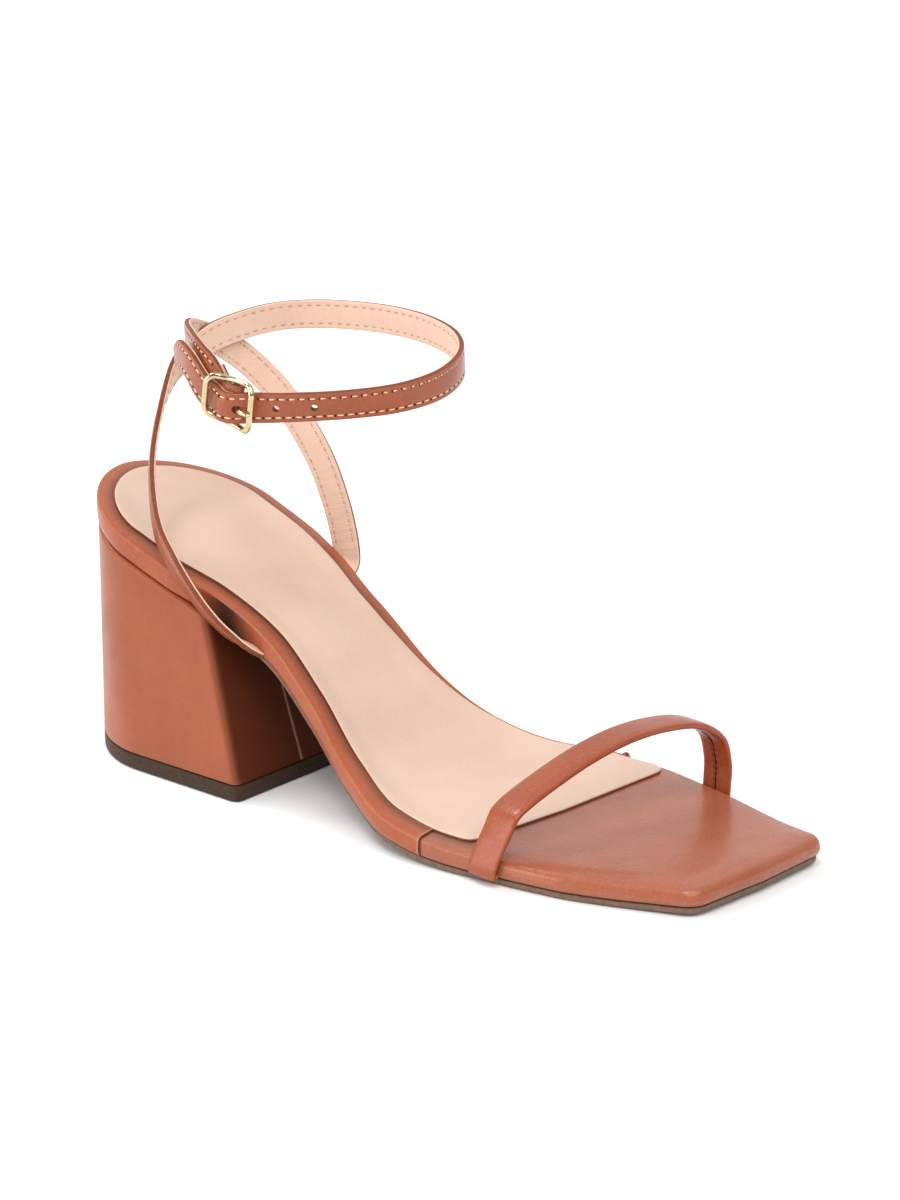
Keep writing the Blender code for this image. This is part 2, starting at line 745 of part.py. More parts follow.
def hole_cutter(name, middle, along, out, radius):
    shape = bmesh.new()
    place = turned(middle, along, np.cross(out, along), out)
    bmesh.ops.create_cone(shape, cap_ends=True, segments=HOLE_SIDES, radius1=radius * MM, radius2=radius * MM,
                          depth=HOLE_DEPTH * MM, matrix=place)
    return finish_mesh(name, shape, None)


def prong_slot():
    shape = bmesh.new()
    _, along, across, out = buckle_axes()
    place = turned(in_buckle([PRONG_SLOT_MIDDLE])[0], along, across, out)
    size = Matrix.Diagonal((*(side * MM for side in PRONG_SLOT_SIZE), 1.0))
    bmesh.ops.create_cube(shape, size=1.0, matrix=place @ size)
    return finish_mesh("slot_prong", shape, None)


def make_long_strap():
    rows = np.array(LONG_STRAP_ROUTE, float)
    reach = chord(rows)
    middle = reach[BUCKLE_ROW]
    near = np.arange(middle - HUMP_SPAN, middle + HUMP_SPAN, BEND_STEP)
    steps = np.concatenate([np.linspace(0, reach[ROOT_ROW], ROOT_STEPS)[:-1],
                            np.arange(reach[ROOT_ROW], near[0] - BEND_STEP, STRAP_STEP),
                            near, np.linspace(near[-1], reach[-1], TIP_STEPS)[1:]])
    centre, face = strap_route(rows, steps)
    hump = HUMP_RISE * np.exp(-((steps - middle) / HUMP_REACH) ** 2)
    centre = centre + face * hump[:, None]
    tip = np.clip((steps - (reach[-1] - TIP_LENGTH)) / TIP_LENGTH, 0, 1)
    width = STRAP_WIDTH - (STRAP_WIDTH - TIP_WIDTH) * tip ** 2
    strap = sweep("ankle_strap", centre, face, lambda i: flat_section(width[i], STRAP_THICK), leather)

    _, along, _, out = buckle_axes()
    at_prong = in_buckle([(PRONG_HOLE_AT, 0.0, HUMP_RISE / 2)])[0]
    combine(strap, hole_cutter("hole_prong", at_prong, along, out, PRONG_HOLE_RADIUS), "DIFFERENCE")
    for number, distance in enumerate(HOLES_AT, 1):
        spots, faces = strap_route(rows, middle - distance + np.array([-HOLE_AIM, 0.0, HOLE_AIM]))
        ahead = unit(spots[0] - spots[2])
        outward = unit(faces[1] - ahead * (faces[1] @ ahead))
        spare = hole_cutter(f"hole_spare_{number}", spots[1], ahead, outward, HOLE_RADIUS)
        combine(strap, spare, "DIFFERENCE")
    return strap


def make_short_strap():
    # quarter and back follow the route, then the end folds round the buckle's middle bar
    rows = np.array(SHORT_STRAP_ROUTE, float)
    fold = in_buckle(LEAF_ROUTE)
    joined = np.concatenate([rows[:, :3], fold])
    reach = chord(joined)
    start = len(rows)
    thinner = reach[start + LEAF_SKIVE[0]]
    thinnest = reach[start + LEAF_SKIVE[1]]
    steps = np.concatenate([np.linspace(0, reach[ROOT_ROW], ROOT_STEPS)[:-1],
                            np.arange(reach[ROOT_ROW], reach[start], STRAP_STEP),
                            reach[start:start + LEAF_SKIVE[1]],
                            np.linspace(thinnest, reach[-1], LEAF_STEPS)])
    _, _, across, _ = buckle_axes()
    turn = np.gradient(fold, axis=0)
    turn = unit(turn - np.outer(turn @ across, across))
    fold_face = np.cross(turn, across)
    faces = np.concatenate([facing(rows), fold_face])
    route = through(np.concatenate([joined, faces], 1), steps)
    thick = np.interp(steps, [thinner, thinnest], [STRAP_THICK, LEAF_THICK])
    strap = sweep("short_strap", route[:, :3], route[:, 3:],
                  lambda i: flat_section(STRAP_WIDTH, thick[i]), None)
    combine(strap, prong_slot(), "DIFFERENCE")
    return strap


def centre_on_floor():
    # origin below the middle of the whole sandal
    bpy.context.view_layer.update()
    corners = []
    for piece in parts.objects:
        if piece.type == "MESH":
            corners += [piece.matrix_world @ v.co for v in piece.data.vertices]
    low = [min(c[k] for c in corners) for k in range(3)]
    high = [max(c[k] for c in corners) for k in range(3)]
    datum.location = (-(low[0] + high[0]) / 2, -(low[1] + high[1]) / 2, -low[2])


for old in list(bpy.data.objects):
    bpy.data.objects.remove(old, do_unlink=True)
parts = bpy.data.collections.new("block_heel_sandal")
cutters = bpy.data.collections.new("cutters")
bpy.context.scene.collection.children.link(parts)
bpy.context.scene.collection.children.link(cutters)
datum = bpy.data.objects.new("datum", None)
parts.objects.link(datum)

leather = paint("cognac_leather", LEATHER, 0.42)
nude_leather = paint("nude_lining", NUDE, 0.55)
lift_rubber = paint("dark_lift", LIFT_BROWN, 0.5)
sole_rubber = paint("grey_brown_sole", SOLE_BROWN, 0.7)
gold = paint("pale_gold", PALE_GOLD, 0.22, 1.0)

footbed = make_footbed()
make_outsole()
make_sock()
make_heel()
make_lift()
toe_slots = make_toe_strap()
ankle_strap = make_long_strap()
combine(ankle_strap, make_short_strap(), "UNION")
make_buckle()
for slot in toe_slots:
    combine(footbed, slot, "DIFFERENCE")
for name, rows in (("slot_outer_quarter", LONG_STRAP_ROUTE), ("slot_inner_quarter", SHORT_STRAP_ROUTE)):
    combine(footbed, strap_slot(name, rows), "DIFFERENCE")
centre_on_floor()
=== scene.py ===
import math

import bmesh
import bpy
import numpy as np
from mathutils import Matrix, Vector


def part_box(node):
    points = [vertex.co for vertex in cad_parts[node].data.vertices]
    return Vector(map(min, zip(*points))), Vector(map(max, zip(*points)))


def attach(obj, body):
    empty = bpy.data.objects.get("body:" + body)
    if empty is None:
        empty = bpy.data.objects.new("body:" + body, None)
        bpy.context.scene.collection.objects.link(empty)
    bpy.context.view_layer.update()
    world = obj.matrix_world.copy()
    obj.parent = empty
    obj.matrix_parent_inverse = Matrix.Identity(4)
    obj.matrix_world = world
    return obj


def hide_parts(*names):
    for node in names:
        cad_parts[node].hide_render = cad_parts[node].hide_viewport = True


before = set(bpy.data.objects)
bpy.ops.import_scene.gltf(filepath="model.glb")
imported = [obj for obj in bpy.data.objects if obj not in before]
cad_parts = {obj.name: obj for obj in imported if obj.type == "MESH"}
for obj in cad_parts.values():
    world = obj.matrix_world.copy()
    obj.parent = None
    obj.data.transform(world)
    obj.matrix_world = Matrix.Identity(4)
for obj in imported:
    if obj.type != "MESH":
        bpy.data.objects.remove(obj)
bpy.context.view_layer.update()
print("frame loaded:", ", ".join(sorted(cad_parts)))

mm = 0.001
datum = np.array([  # back of the footbed, middle of the heel
    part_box("footbed")[0][0], (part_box("heel_block")[0][1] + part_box("heel_block")[1][1]) / 2, 0.0])


def toWorld(points):  # sandal millimetres, from the back of the footbed, to metres
    return datum + np.asarray(points, float) * mm


# curves through rows of numbers

def hermite(xs, ys, slopes, at):
    i = np.clip(np.searchsorted(xs, at, side="right") - 1, 0, len(xs) - 2)
    h = xs[i + 1] - xs[i]
    t = (at - xs[i]) / h
    a = (1 + 2 * t) * (1 - t) ** 2
    b = t * (1 - t) ** 2
    c = t * t * (3 - 2 * t)
    d = t * t * (t - 1)
    return a * ys[i] + b * h * slopes[i] + c * ys[i + 1] + d * h * slopes[i + 1]


def fair(xs, ys, at):  # never overshoots its rows
    steps = np.diff(ys) / np.diff(xs)
    slopes = np.zeros(len(xs))
    product = steps[:-1] * steps[1:]
    total = np.where(product > 0, steps[:-1] + steps[1:], 1.0)
    slopes[1:-1] = np.where(product > 0, 2 * product / total, 0.0)
    slopes[0] = steps[0]
    slopes[-1] = steps[-1]
    return hermite(np.asarray(xs, float), np.asarray(ys, float), slopes, np.asarray(at, float))


def chord(rows):
    return np.concatenate([[0.0], np.cumsum(np.linalg.norm(np.diff(rows[:, :3], axis=0), axis=1))])


def through(rows, at):
    reach = chord(rows)
    slopes = np.zeros_like(rows)
    slopes[1:-1] = (rows[2:] - rows[:-2]) / (reach[2:] - reach[:-2])[:, None]
    slopes[0] = (rows[1] - rows[0]) / (reach[1] - reach[0])
    slopes[-1] = (rows[-1] - rows[-2]) / (reach[-1] - reach[-2])
    return np.stack([hermite(reach, rows[:, k], slopes[:, k], at) for k in range(rows.shape[1])], -1)


def between(pairs, at):  # straight lines from pair to pair
    return np.interp(at, *np.array(pairs, float).T)


def unit(v):
    return v / np.linalg.norm(v, axis=-1, keepdims=True)


def rise(x, span=(0.0, 1.0)):  # soft step from 0 to 1
    t = np.clip((x - span[0]) / (span[1] - span[0]), 0, 1)
    return t * t * (3 - 2 * t)


def bump(x, middle, reach):
    return np.exp(-((x - middle) / reach) ** 2)


def mirrored(half):
    half = np.array(half)
    return np.r_[half, -half[-2::-1]]


# materials

def newMaterial(name):
    material = bpy.data.materials.new(name)
    material.use_nodes = True
    return material, material.node_tree, material.node_tree.nodes["Principled BSDF"]


def feed(tree, node, inputs):  # links a socket, sets a value
    for key, value in inputs.items():
        if isinstance(value, bpy.types.NodeSocket):
            tree.links.new(value, node.inputs[key])
        else:
            node.inputs[key].default_value = value


def add(tree, kind, inputs=None, **props):
    node = tree.nodes.new(kind)
    for key, value in props.items():
        setattr(node, key, value)
    feed(tree, node, inputs or {})
    return node


def noise(tree, vector, scale, detail=3.0, rough=0.55):
    inputs = {"Vector": vector, "Scale": scale, "Detail": detail, "Roughness": rough}
    return add(tree, "ShaderNodeTexNoise", inputs).outputs["Fac"]


def ramp(tree, fac, low, high, lowOut=0.0, highOut=1.0):
    inputs = {"Value": fac, "From Min": low, "From Max": high, "To Min": lowOut, "To Max": highOut}
    return add(tree, "ShaderNodeMapRange", inputs, clamp=True).outputs["Result"]


def mixColour(tree, fac, a, b):
    a, b = ((*colour, 1.0) if isinstance(colour, tuple) else colour for colour in (a, b))
    return add(tree, "ShaderNodeMix", {0: fac, 6: a, 7: b}, data_type="RGBA").outputs[2]


def sums(tree, a, b, operation="ADD"):
    return add(tree, "ShaderNodeMath", {0: a, 1: b}, operation=operation).outputs[0]


def relief(tree, height, strength, distance, normal=None):
    inputs = {"Height": height, "Strength": strength, "Distance": distance}
    if normal is not None:
        inputs["Normal"] = normal
    return add(tree, "ShaderNodeBump", inputs).outputs["Normal"]


hide = {  # shared by all leathers
    "cloudSpan": (0.32, 0.68), "fleckSpan": (0.5, 0.75), "poreScale": 0.45, "pores": 0.8,
    "grainDepth": 0.0003, "puckerDepth": 0.0006, "swellDepth": 0.002,  # metres
    "glossSpan": (0.3, 0.7), "gloss": (-0.05, 0.07),
}


def leather(name, look):
    material, tree, shader = newMaterial(name)
    place = add(tree, "ShaderNodeTexCoord").outputs["Object"]
    cloud = noise(tree, place, look["cloudScale"], detail=4.0, rough=0.6)
    fleck = noise(tree, place, look["fleckScale"], detail=2.0, rough=0.5)
    base = mixColour(tree, ramp(tree, cloud, *hide["cloudSpan"]), look["deep"], look["light"])
    flecks = ramp(tree, fleck, *hide["fleckSpan"], 0.0, look["fleck"])
    base = mixColour(tree, flecks, base, look["fleckColour"])
    for mark, colour in look.get("marks", {}).items():  # kept in the mesh, such as a seam or a raw edge
        line = add(tree, "ShaderNodeAttribute", attribute_name=mark).outputs["Fac"]
        base = mixColour(tree, line, base, colour)
    inputs = {"Vector": place, "Scale": look["grainScale"]}
    cells = add(tree, "ShaderNodeTexVoronoi", inputs, feature="SMOOTH_F1").outputs["Distance"]
    pores = sums(tree, noise(tree, place, look["grainScale"] * hide["poreScale"]), hide["pores"], "MULTIPLY")
    normal = relief(tree, sums(tree, cells, pores), look["grain"], hide["grainDepth"])
    if "pucker" in look:  # fine gathers across a wrapped rim
        run = add(tree, "ShaderNodeUVMap", uv_map="run").outputs["UV"]
        drawn = add(tree, "ShaderNodeMapping", {"Vector": run, "Scale": look["puckerScale"]})
        gathers = noise(tree, drawn.outputs["Vector"], 1.0, rough=0.6)
        normal = relief(tree, gathers, look["pucker"], hide["puckerDepth"], normal)
    swell = noise(tree, place, look["swellScale"], detail=2.0)
    worn = noise(tree, place, look["glossScale"])
    low, high = (look["rough"] + shift for shift in hide["gloss"])
    feed(tree, shader, {
        "Base Color": base, "Normal": relief(tree, swell, look["swell"], hide["swellDepth"], normal),
        "Roughness": ramp(tree, worn, *hide["glossSpan"], low, high),
        "Coat Weight": look["coat"], "Coat Roughness": look["coatRough"],
        "Specular IOR Level": look["specular"],
    })
    return material


cognac = {
    "deep": (0.285, 0.070, 0.027), "light": (0.345, 0.090, 0.037), "cloudScale": 45.0,
    "fleck": 0.30, "fleckColour": (0.48, 0.16, 0.08), "fleckScale": 1400.0, "grain": 0.24,
    "grainScale": 1500.0, "swell": 0.12, "swellScale": 60.0, "glossScale": 120.0, "rough": 0.40,
    "coat": 0.22, "coatRough": 0.24, "specular": 0.36,
}
lapShade = (0.085, 0.025, 0.012)
# paintedRimShade darkens the top of the rim beside the sock in both wraps: painted shade where the sock's
# edge stands proud
wrapLook = dict(cognac, coat=0.50, coatRough=0.17, pucker=0.16, puckerScale=(520.0, 60.0, 1.0), grain=0.34,
                marks={"paintedRimShade": (0.150, 0.040, 0.018), "seam": lapShade})
# paintedStrapShade is a painted shadow on the wall behind the outer quarter strap
backLook = dict(cognac, deep=(0.315, 0.070, 0.023), light=(0.375, 0.089, 0.031), coat=0.36, coatRough=0.14,
                specular=0.20, marks={"paintedRimShade": (0.115, 0.028, 0.012), "paintedStrapShade": (0.045, 0.012, 0.006),
                                      "seam": lapShade, "raw": (0.38, 0.17, 0.10)})
# paintedBreastShade paints the heel's breast near-black: painted shade under the footbed's arch
heelLook = dict(cognac, grain=0.10, swell=0.08, fleck=0.12, specular=0.20, coat=0.14, coatRough=0.18,
                marks={"paintedBreastShade": (0.090, 0.020, 0.007), "seam": (0.50, 0.27, 0.18)})
# dull leather for the breast faces, which carry the painted breast shade
breastLook = dict(heelLook, rough=0.62, specular=0.06, coat=0.0)
strapLook = dict(cognac, deep=(0.275, 0.060, 0.020), light=(0.335, 0.078, 0.028), coat=0.38, coatRough=0.20,
                 grain=0.26, grainScale=1700.0, swellScale=90.0, specular=0.27)
toeLook = dict(strapLook, deep=(0.265, 0.048, 0.012), light=(0.325, 0.066, 0.020))
nude = {
    "deep": (0.600, 0.410, 0.312), "light": (0.660, 0.465, 0.362), "cloudScale": 30.0,
    "fleck": 0.2, "fleckColour": (0.78, 0.58, 0.47), "fleckScale": 1200.0, "grain": 0.08,
    "grainScale": 1900.0, "swell": 0.08, "swellScale": 35.0, "glossScale": 80.0, "rough": 0.38,
    "coat": 0.08, "coatRough": 0.30, "specular": 0.40,
}
liningLook = dict(nude, deep=(0.67, 0.455, 0.345), light=(0.745, 0.52, 0.405), rough=0.5,
                  pucker=0.8, puckerScale=(300.0, 40.0, 1.0))

wrapLeather = leather("cognacWrap", wrapLook)
backLeather = leather("cognacBackWrap", backLook)
heelLeather = leather("cognacHeel", heelLook)
breastLeather = leather("cognacBreast", breastLook)
strapLeather = leather("cognacStrap", strapLook)
toeLeather = leather("cognacToe", toeLook)
sockLeather = leather("nudeSock", nude)
liningLeather = leather("nudeLining", liningLook)

plainLooks = {  # dark, light, scale of the speckle, grain, roughness, specular, metal
    "darkLift": ((0.040, 0.022, 0.014), (0.062, 0.035, 0.023), 900.0, 0.15, 0.5, 0.12, 0.0),
    "soleEdge": ((0.135, 0.080, 0.050), (0.200, 0.120, 0.080), 700.0, 0.25, 0.6, 0.4, 0.0),
    "edgePaint": ((0.160, 0.042, 0.018), (0.225, 0.064, 0.029), 1200.0, 0.2, 0.5, 0.15, 0.0),
    "liningEdge": ((0.66, 0.42, 0.30), (0.80, 0.56, 0.43), 1500.0, 0.3, 0.65, 0.4, 0.0),
    "creamThread": ((0.74, 0.47, 0.28), (0.90, 0.66, 0.45), 2600.0, 0.4, 0.7, 0.4, 0.0),
    "tanThread": ((0.44, 0.25, 0.15), (0.56, 0.34, 0.22), 2600.0, 0.4, 0.7, 0.4, 0.0),
    # needle holes are dark beads of painted shade; darkThreadAndHoleShade also colours the toe strap's seam
    # thread and seam line
    "darkThreadAndHoleShade": ((0.028, 0.009, 0.006), (0.045, 0.015, 0.009), 1500.0, 0.1, 0.8, 0.4, 0.0),
    "liningHoleShade": ((0.36, 0.18, 0.10), (0.44, 0.24, 0.145), 1500.0, 0.1, 0.8, 0.4, 0.0),
    # sockEdgePaintAndShade: the sock's dark lower cut edge, edge paint with a painted contact shadow
    "sockEdgePaintAndShade": ((0.16, 0.066, 0.036), (0.24, 0.11, 0.062), 1500.0, 0.2, 0.6, 0.4, 0.0),
    "paleGold": ((0.56, 0.46, 0.27), (0.69, 0.58, 0.37), 500.0, 0.03, 0.14, 0.5, 1.0),
}
speck = {"span": (0.35, 0.65), "depth": 0.0003, "glossSpan": (0.3, 0.7), "gloss": 0.06}


def plain(name):
    dark, light, scale, grain, rough, specular, metal = plainLooks[name]
    material, tree, shader = newMaterial(name)
    place = add(tree, "ShaderNodeTexCoord").outputs["Object"]
    speckle = noise(tree, place, scale, detail=4.0, rough=0.65)
    feed(tree, shader, {
        "Base Color": mixColour(tree, ramp(tree, speckle, *speck["span"]), dark, light),
        "Normal": relief(tree, speckle, grain, speck["depth"]),
        "Roughness": ramp(tree, speckle, *speck["glossSpan"], rough - speck["gloss"], rough + speck["gloss"]),
        "Metallic": metal, "Specular IOR Level": specular,
    })
    return material


finish = {name: plain(name) for name in plainLooks}
print("materials ready")


# meshes

def intoScene(name, data):
    thing = bpy.data.objects.new(name, data)
    bpy.context.scene.collection.objects.link(thing)
    return thing


def standing(x, y, z, at):  # matrix of three directions and a place
    return Matrix(np.r_[np.stack([x, y, z, at], -1), [[0, 0, 0, 1]]].tolist())


def shaded(mesh, sharp):
    mesh.shade_smooth()
    mesh.set_sharp_from_angle(angle=math.radians(sharp))


def facesOut(mesh, merge=0.0):
    shape = bmesh.new()
    shape.from_mesh(mesh)
    if merge:
        bmesh.ops.remove_doubles(shape, verts=shape.verts, dist=merge)
    bmesh.ops.recalc_face_normals(shape, faces=shape.faces)
    shape.to_mesh(mesh)
    shape.free()


def addPiece(name, verts, faces, materials, slots=None, run=None, marks=None, sharp=55.0):
    mesh = bpy.data.meshes.new(name)
    mesh.from_pydata(toWorld(verts).tolist(), [], [tuple(f) for f in faces])
    for material in materials:
        mesh.materials.append(material)
    if slots is not None:
        mesh.polygons.foreach_set("material_index", np.asarray(slots, np.int32))
    if run is not None:
        corner = np.empty(len(mesh.loops), np.int32)
        mesh.loops.foreach_get("vertex_index", corner)
        mesh.uv_layers.new(name="run").data.foreach_set("uv", np.asarray(run, np.float32)[corner].ravel())
    for key, values in (marks or {}).items():
        mesh.attributes.new(key, "FLOAT", "POINT").data.foreach_set("value", np.asarray(values, np.float32))
    facesOut(mesh)
    shaded(mesh, sharp)
    return intoScene(name, mesh)


def settle(piece, slot, *nodes):
    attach(piece, "root")
    if nodes:
        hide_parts(*nodes)


def bake(piece):  # modifiers into a plain mesh
    evaluated = piece.evaluated_get(bpy.context.evaluated_depsgraph_get())
    mesh = bpy.data.meshes.new_from_object(evaluated)
    old = piece.data
    piece.modifiers.clear()
    piece.data = mesh
    name = old.name
    bpy.data.meshes.remove(old)
    mesh.name = name


def wallFaces(count, rings):
    faces = []
    for base in range(0, (rings - 1) * count, count):
        for i in range(count):
            j = (i + 1) % count
            faces.append((base + i, base + j, base + count + j, base + count + i))
    return faces


def closedLoop(outer, inner):
    return np.concatenate([outer, inner[-2:0:-1]])


def inset(loop, distance):
    ahead = np.roll(loop, -1, 0) - np.roll(loop, 1, 0)
    inward = unit(np.stack([-ahead[:, 1], ahead[:, 0]], -1))
    return loop + inward * distance


def atHeight(loop, height):
    return np.concatenate([loop, height(loop[:, 0])[:, None]], 1)


def level(z):
    return lambda points: np.full(len(points), z)


def awayFrom(points, loop):  # distance to a closed outline in plan
    a = loop[:, :2]
    d = np.roll(a, -1, 0) - a
    t = ((points[:, None, :2] - a) * d).sum(-1) / (d * d).sum(-1)
    near = a + np.clip(t, 0, 1)[..., None] * d
    return np.linalg.norm(points[:, None, :2] - near, axis=-1).min(1)


def capGrid(ring, base, back, front, fade, height, verts):
    # rows from side to side over a ring; the first row is its back edge and the last its front edge
    count = len(ring)
    across = count - 2 * front
    frontRow = np.array([ring[(front + k) % count] for k in range(across + 1)])
    share = chord(np.c_[frontRow[:, :2], np.zeros(across + 1)])
    share = share / share[-1]
    straightFront = frontRow[:1] * (1 - share[:, None]) + frontRow[-1:] * share[:, None]
    rows = [[base + (-back + k) % count for k in range(2 * back + 1)] if back else [base]]
    inside = []
    for i in range(back + 1, front):
        left = ring[i]
        right = ring[count - i]
        weight = rise(1 - (frontRow[across // 2, 0] - (left[0] + right[0]) / 2) / fade)
        points = left * (1 - share[:, None]) + right * share[:, None] + weight * (frontRow - straightFront)
        first = len(verts) + len(inside)
        rows.append([base + i, *range(first, first + across - 1), base + count - i])
        inside += list(points[1:-1, :2])
    rows.append([base + (front + k) % count for k in range(across + 1)])
    inside = np.array(inside)
    verts += list(np.c_[inside, height(inside)])
    faces = []
    for one, two in zip(rows, rows[1:]):
        if len(one) == 1:
            faces += [(one[0], two[m], two[m + 1]) for m in range(len(two) - 1)]
        else:
            faces += [(one[m], two[m], two[m + 1], one[m + 1]) for m in range(len(one) - 1)]
    return faces


def capped(rings, back, front, fade, upper, lower):
    # walls from ring to ring, a cap on the first and on the last, and where the last cap's points begin
    count = len(rings[0])
    verts = [v for ring in rings for v in ring]
    faces = wallFaces(count, len(rings))
    faces += capGrid(rings[0], 0, back, front, fade, upper, verts)
    second = len(verts)
    faces += capGrid(rings[-1], (len(rings) - 1) * count, back, front, fade, lower, verts)
    return verts, faces, second


def roundCorner(before, corner, after, cut, count):  # a bend from one straight line into the next
    start, end = (corner + (p - corner) * cut / np.linalg.norm(p - corner) for p in (before, after))
    t = np.linspace(0, 1, count)[:, None]
    return (1 - t) ** 2 * start + 2 * t * (1 - t) * corner + t * t * end


def straight(start, end, count):
    return start + np.linspace(0, 1, count)[1:, None] * (end - start)


# sole outline shared by footbed, outsole and sock

sole = {
    "rows": (  # station, outer half width, inner half width, height of the top
        (0, 0.0, 0.0, 78.9), (13, 23.2, 23.5, 73.6), (28, 29.8, 30.2, 67.4), (43, 29.4, 29.5, 61.3),
        (59, 26.7, 26.0, 54.9), (76, 25.0, 21.9, 45.5), (93, 27.5, 21.4, 32.3), (110, 32.5, 26.5, 18.7),
        (127, 37.0, 36.4, 10.2), (141, 37.6, 44.6, 7.6), (153, 36.7, 45.0, 7.1), (178, 34.0, 39.4, 7.1),
        (190, 31.0, 34.7, 7.2), (202, 27.3, 29.6, 7.5), (214.5, 23.6, 25.6, 8.0)),
    "thick": ((0, 6.7), (98, 6.7), (140, 5.2), (220, 5.2)),
    "seatRound": 28.0, "seatPower": 1.8, "seatSteps": 40, "sideSteps": 150, "cornerSteps": 11,
    "frontSteps": 15, "toeSkew": 6.4, "toeBow": 1.0, "toeCorner": 4.2, "skewFrom": 150.0, "capFade": 25.0,
    "wrapOuter": 138.6, "wrapInner": 145.4,  # where the back wrap laps over the front one
    "lapCrowd": (-1.8, -0.8, -0.4, -0.12, 0.0, 0.12, 0.5, 1.0, 1.9),
}
soleRows = np.array(sole["rows"], float)
soleX = soleRows[:, 0]
soleEnd = soleX[-1]


def soleTop(x):
    return fair(soleX, soleRows[:, 3], np.clip(x, soleX[0], soleEnd))


def soleUnder(x):
    return soleTop(x) - between(sole["thick"], x)


def halfWidth(station, sign):
    return fair(soleX[2:], soleRows[2:, 1 if sign < 0 else 2], station)


def skewed(station, sign):
    share = np.clip((station - sole["skewFrom"]) / (soleEnd - sole["skewFrom"]), 0, 1)
    return station + sign * sole["toeSkew"] / 2 * share ** 2


def roundedBack(back, length, half):
    turn = np.linspace(0, math.pi / 2, sole["seatSteps"])
    x = back + length * (1 - np.cos(turn) ** (2 / sole["seatPower"]))
    return np.stack([x, half * np.sin(turn) ** (2 / sole["seatPower"])], -1)


def roundTheFront(sign, back, run, kept, tip, cut, look):  # one side, on past its front corner to the middle
    middle = np.array([tip, 0.0])
    turn = roundCorner(run[-2], run[-1], middle, cut, look["cornerSteps"])
    points = np.concatenate([back, run[kept], turn, straight(turn[-1], middle, look["frontSteps"])])
    points[:, 1] *= sign
    return points


def soleSide(sign):
    back = roundedBack(0.0, sole["seatRound"], halfWidth(sole["seatRound"], sign))
    lap = sole["wrapOuter"] if sign < 0 else sole["wrapInner"]
    stations = np.linspace(sole["seatRound"], soleEnd, sole["sideSteps"])[1:]
    crowd = np.array(sole["lapCrowd"])  # more stations at the lap
    near = np.argsort(np.abs(stations - lap))[:len(crowd)]
    stations[np.sort(near)] = lap + crowd
    run = np.stack([skewed(stations, sign), halfWidth(stations, sign)], -1)
    kept = stations < soleEnd - sole["toeCorner"]
    return roundTheFront(sign, back, run, kept, soleEnd + sole["toeBow"], sole["toeCorner"], sole)


def cornerIndex(size, look):  # middle of the front corner's bend, counted from the back
    return size - look["frontSteps"] + 1 - (look["cornerSteps"] + 1) // 2


# footbed: board wrapped in leather, in two wraps that lap behind the toe strap

footbed = {
    "edgeRound": ((0, 0.65), (130, 0.75), (152, 0.85), (166, 1.6), (220, 2.0)),  # station, radius of the rim
    "fall": ((0, 0.45), (135, 0.45), (162, 1.0), (220, 1.1)),  # station, how far the top sinks at its edge
    "fallInner": ((0, 0.40), (150, 0.30), (190, 0.6), (220, 1.0)), "fallSpan": (-20.0, 20.0),
    "fallReach": 6.5, "fallPower": 1.5, "edgeSteps": 9, "wallSteps": 6, "wallBulge": 0.15,
    "underRound": 1.0, "underTurns": (0.5, 1.0),
    "dish": ((0, 0.8), (50, 1.0), (76, 2.0), (110, 2.0), (128, 0.7), (146, 0.0)), "dishSpan": (5.0, 12.0),
    # painted shade on the rim's top beside the sock: strength, span from the edge, stations where it fades
    # out
    "paintedRimShade": 0.85, "paintedRimShadeSpan": (1.6, 5.2), "paintedRimShadeEnd": (150.0, 158.0),
    # painted shadow on the wall behind the outer quarter strap: station and reach
    "paintedStrapShadeAt": 63.5, "paintedStrapShadeReach": 6.5,
    "lapSpan": (-35.0, 40.0), "lapStep": 0.55, "lapRamp": (0.0, 0.12), "lapGrow": (95.0, 130.0),
    "tipHigh": 0.9, "tipAt": -0.4, "tipReach": 0.9, "tipSpan": (40.0, 44.0), "tipShade": 0.6,
    "rawLine": ((-0.5, 0.0), (-0.4, 0.9), (-0.12, 1.0), (0.0, 0.0)), "rawSpan": (34.0, 39.0),
    "seamLine": ((-0.12, 0.0), (0.0, 1.0), (0.12, 0.8), (0.5, 0.3), (1.0, 0.0)),
}


def fallAt(points, away):  # the top sinks softly towards its edge
    side = rise(points[:, 1], footbed["fallSpan"])
    near = np.clip(1 - away / footbed["fallReach"], 0, 1) ** footbed["fallPower"]
    outer = between(footbed["fall"], points[:, 0])
    return (outer * (1 - side) + between(footbed["fallInner"], points[:, 0]) * side) * near


def bedTop(points, away):  # cupped under the foot
    cup = between(footbed["dish"], points[:, 0]) * rise(away, footbed["dishSpan"])
    return soleTop(points[:, 0]) - fallAt(points, away) - cup


def lapAt(points):  # station of the lap, from the outer to the inner side
    share = rise(points[:, 1], footbed["lapSpan"])
    return sole["wrapOuter"] + (sole["wrapInner"] - sole["wrapOuter"]) * share


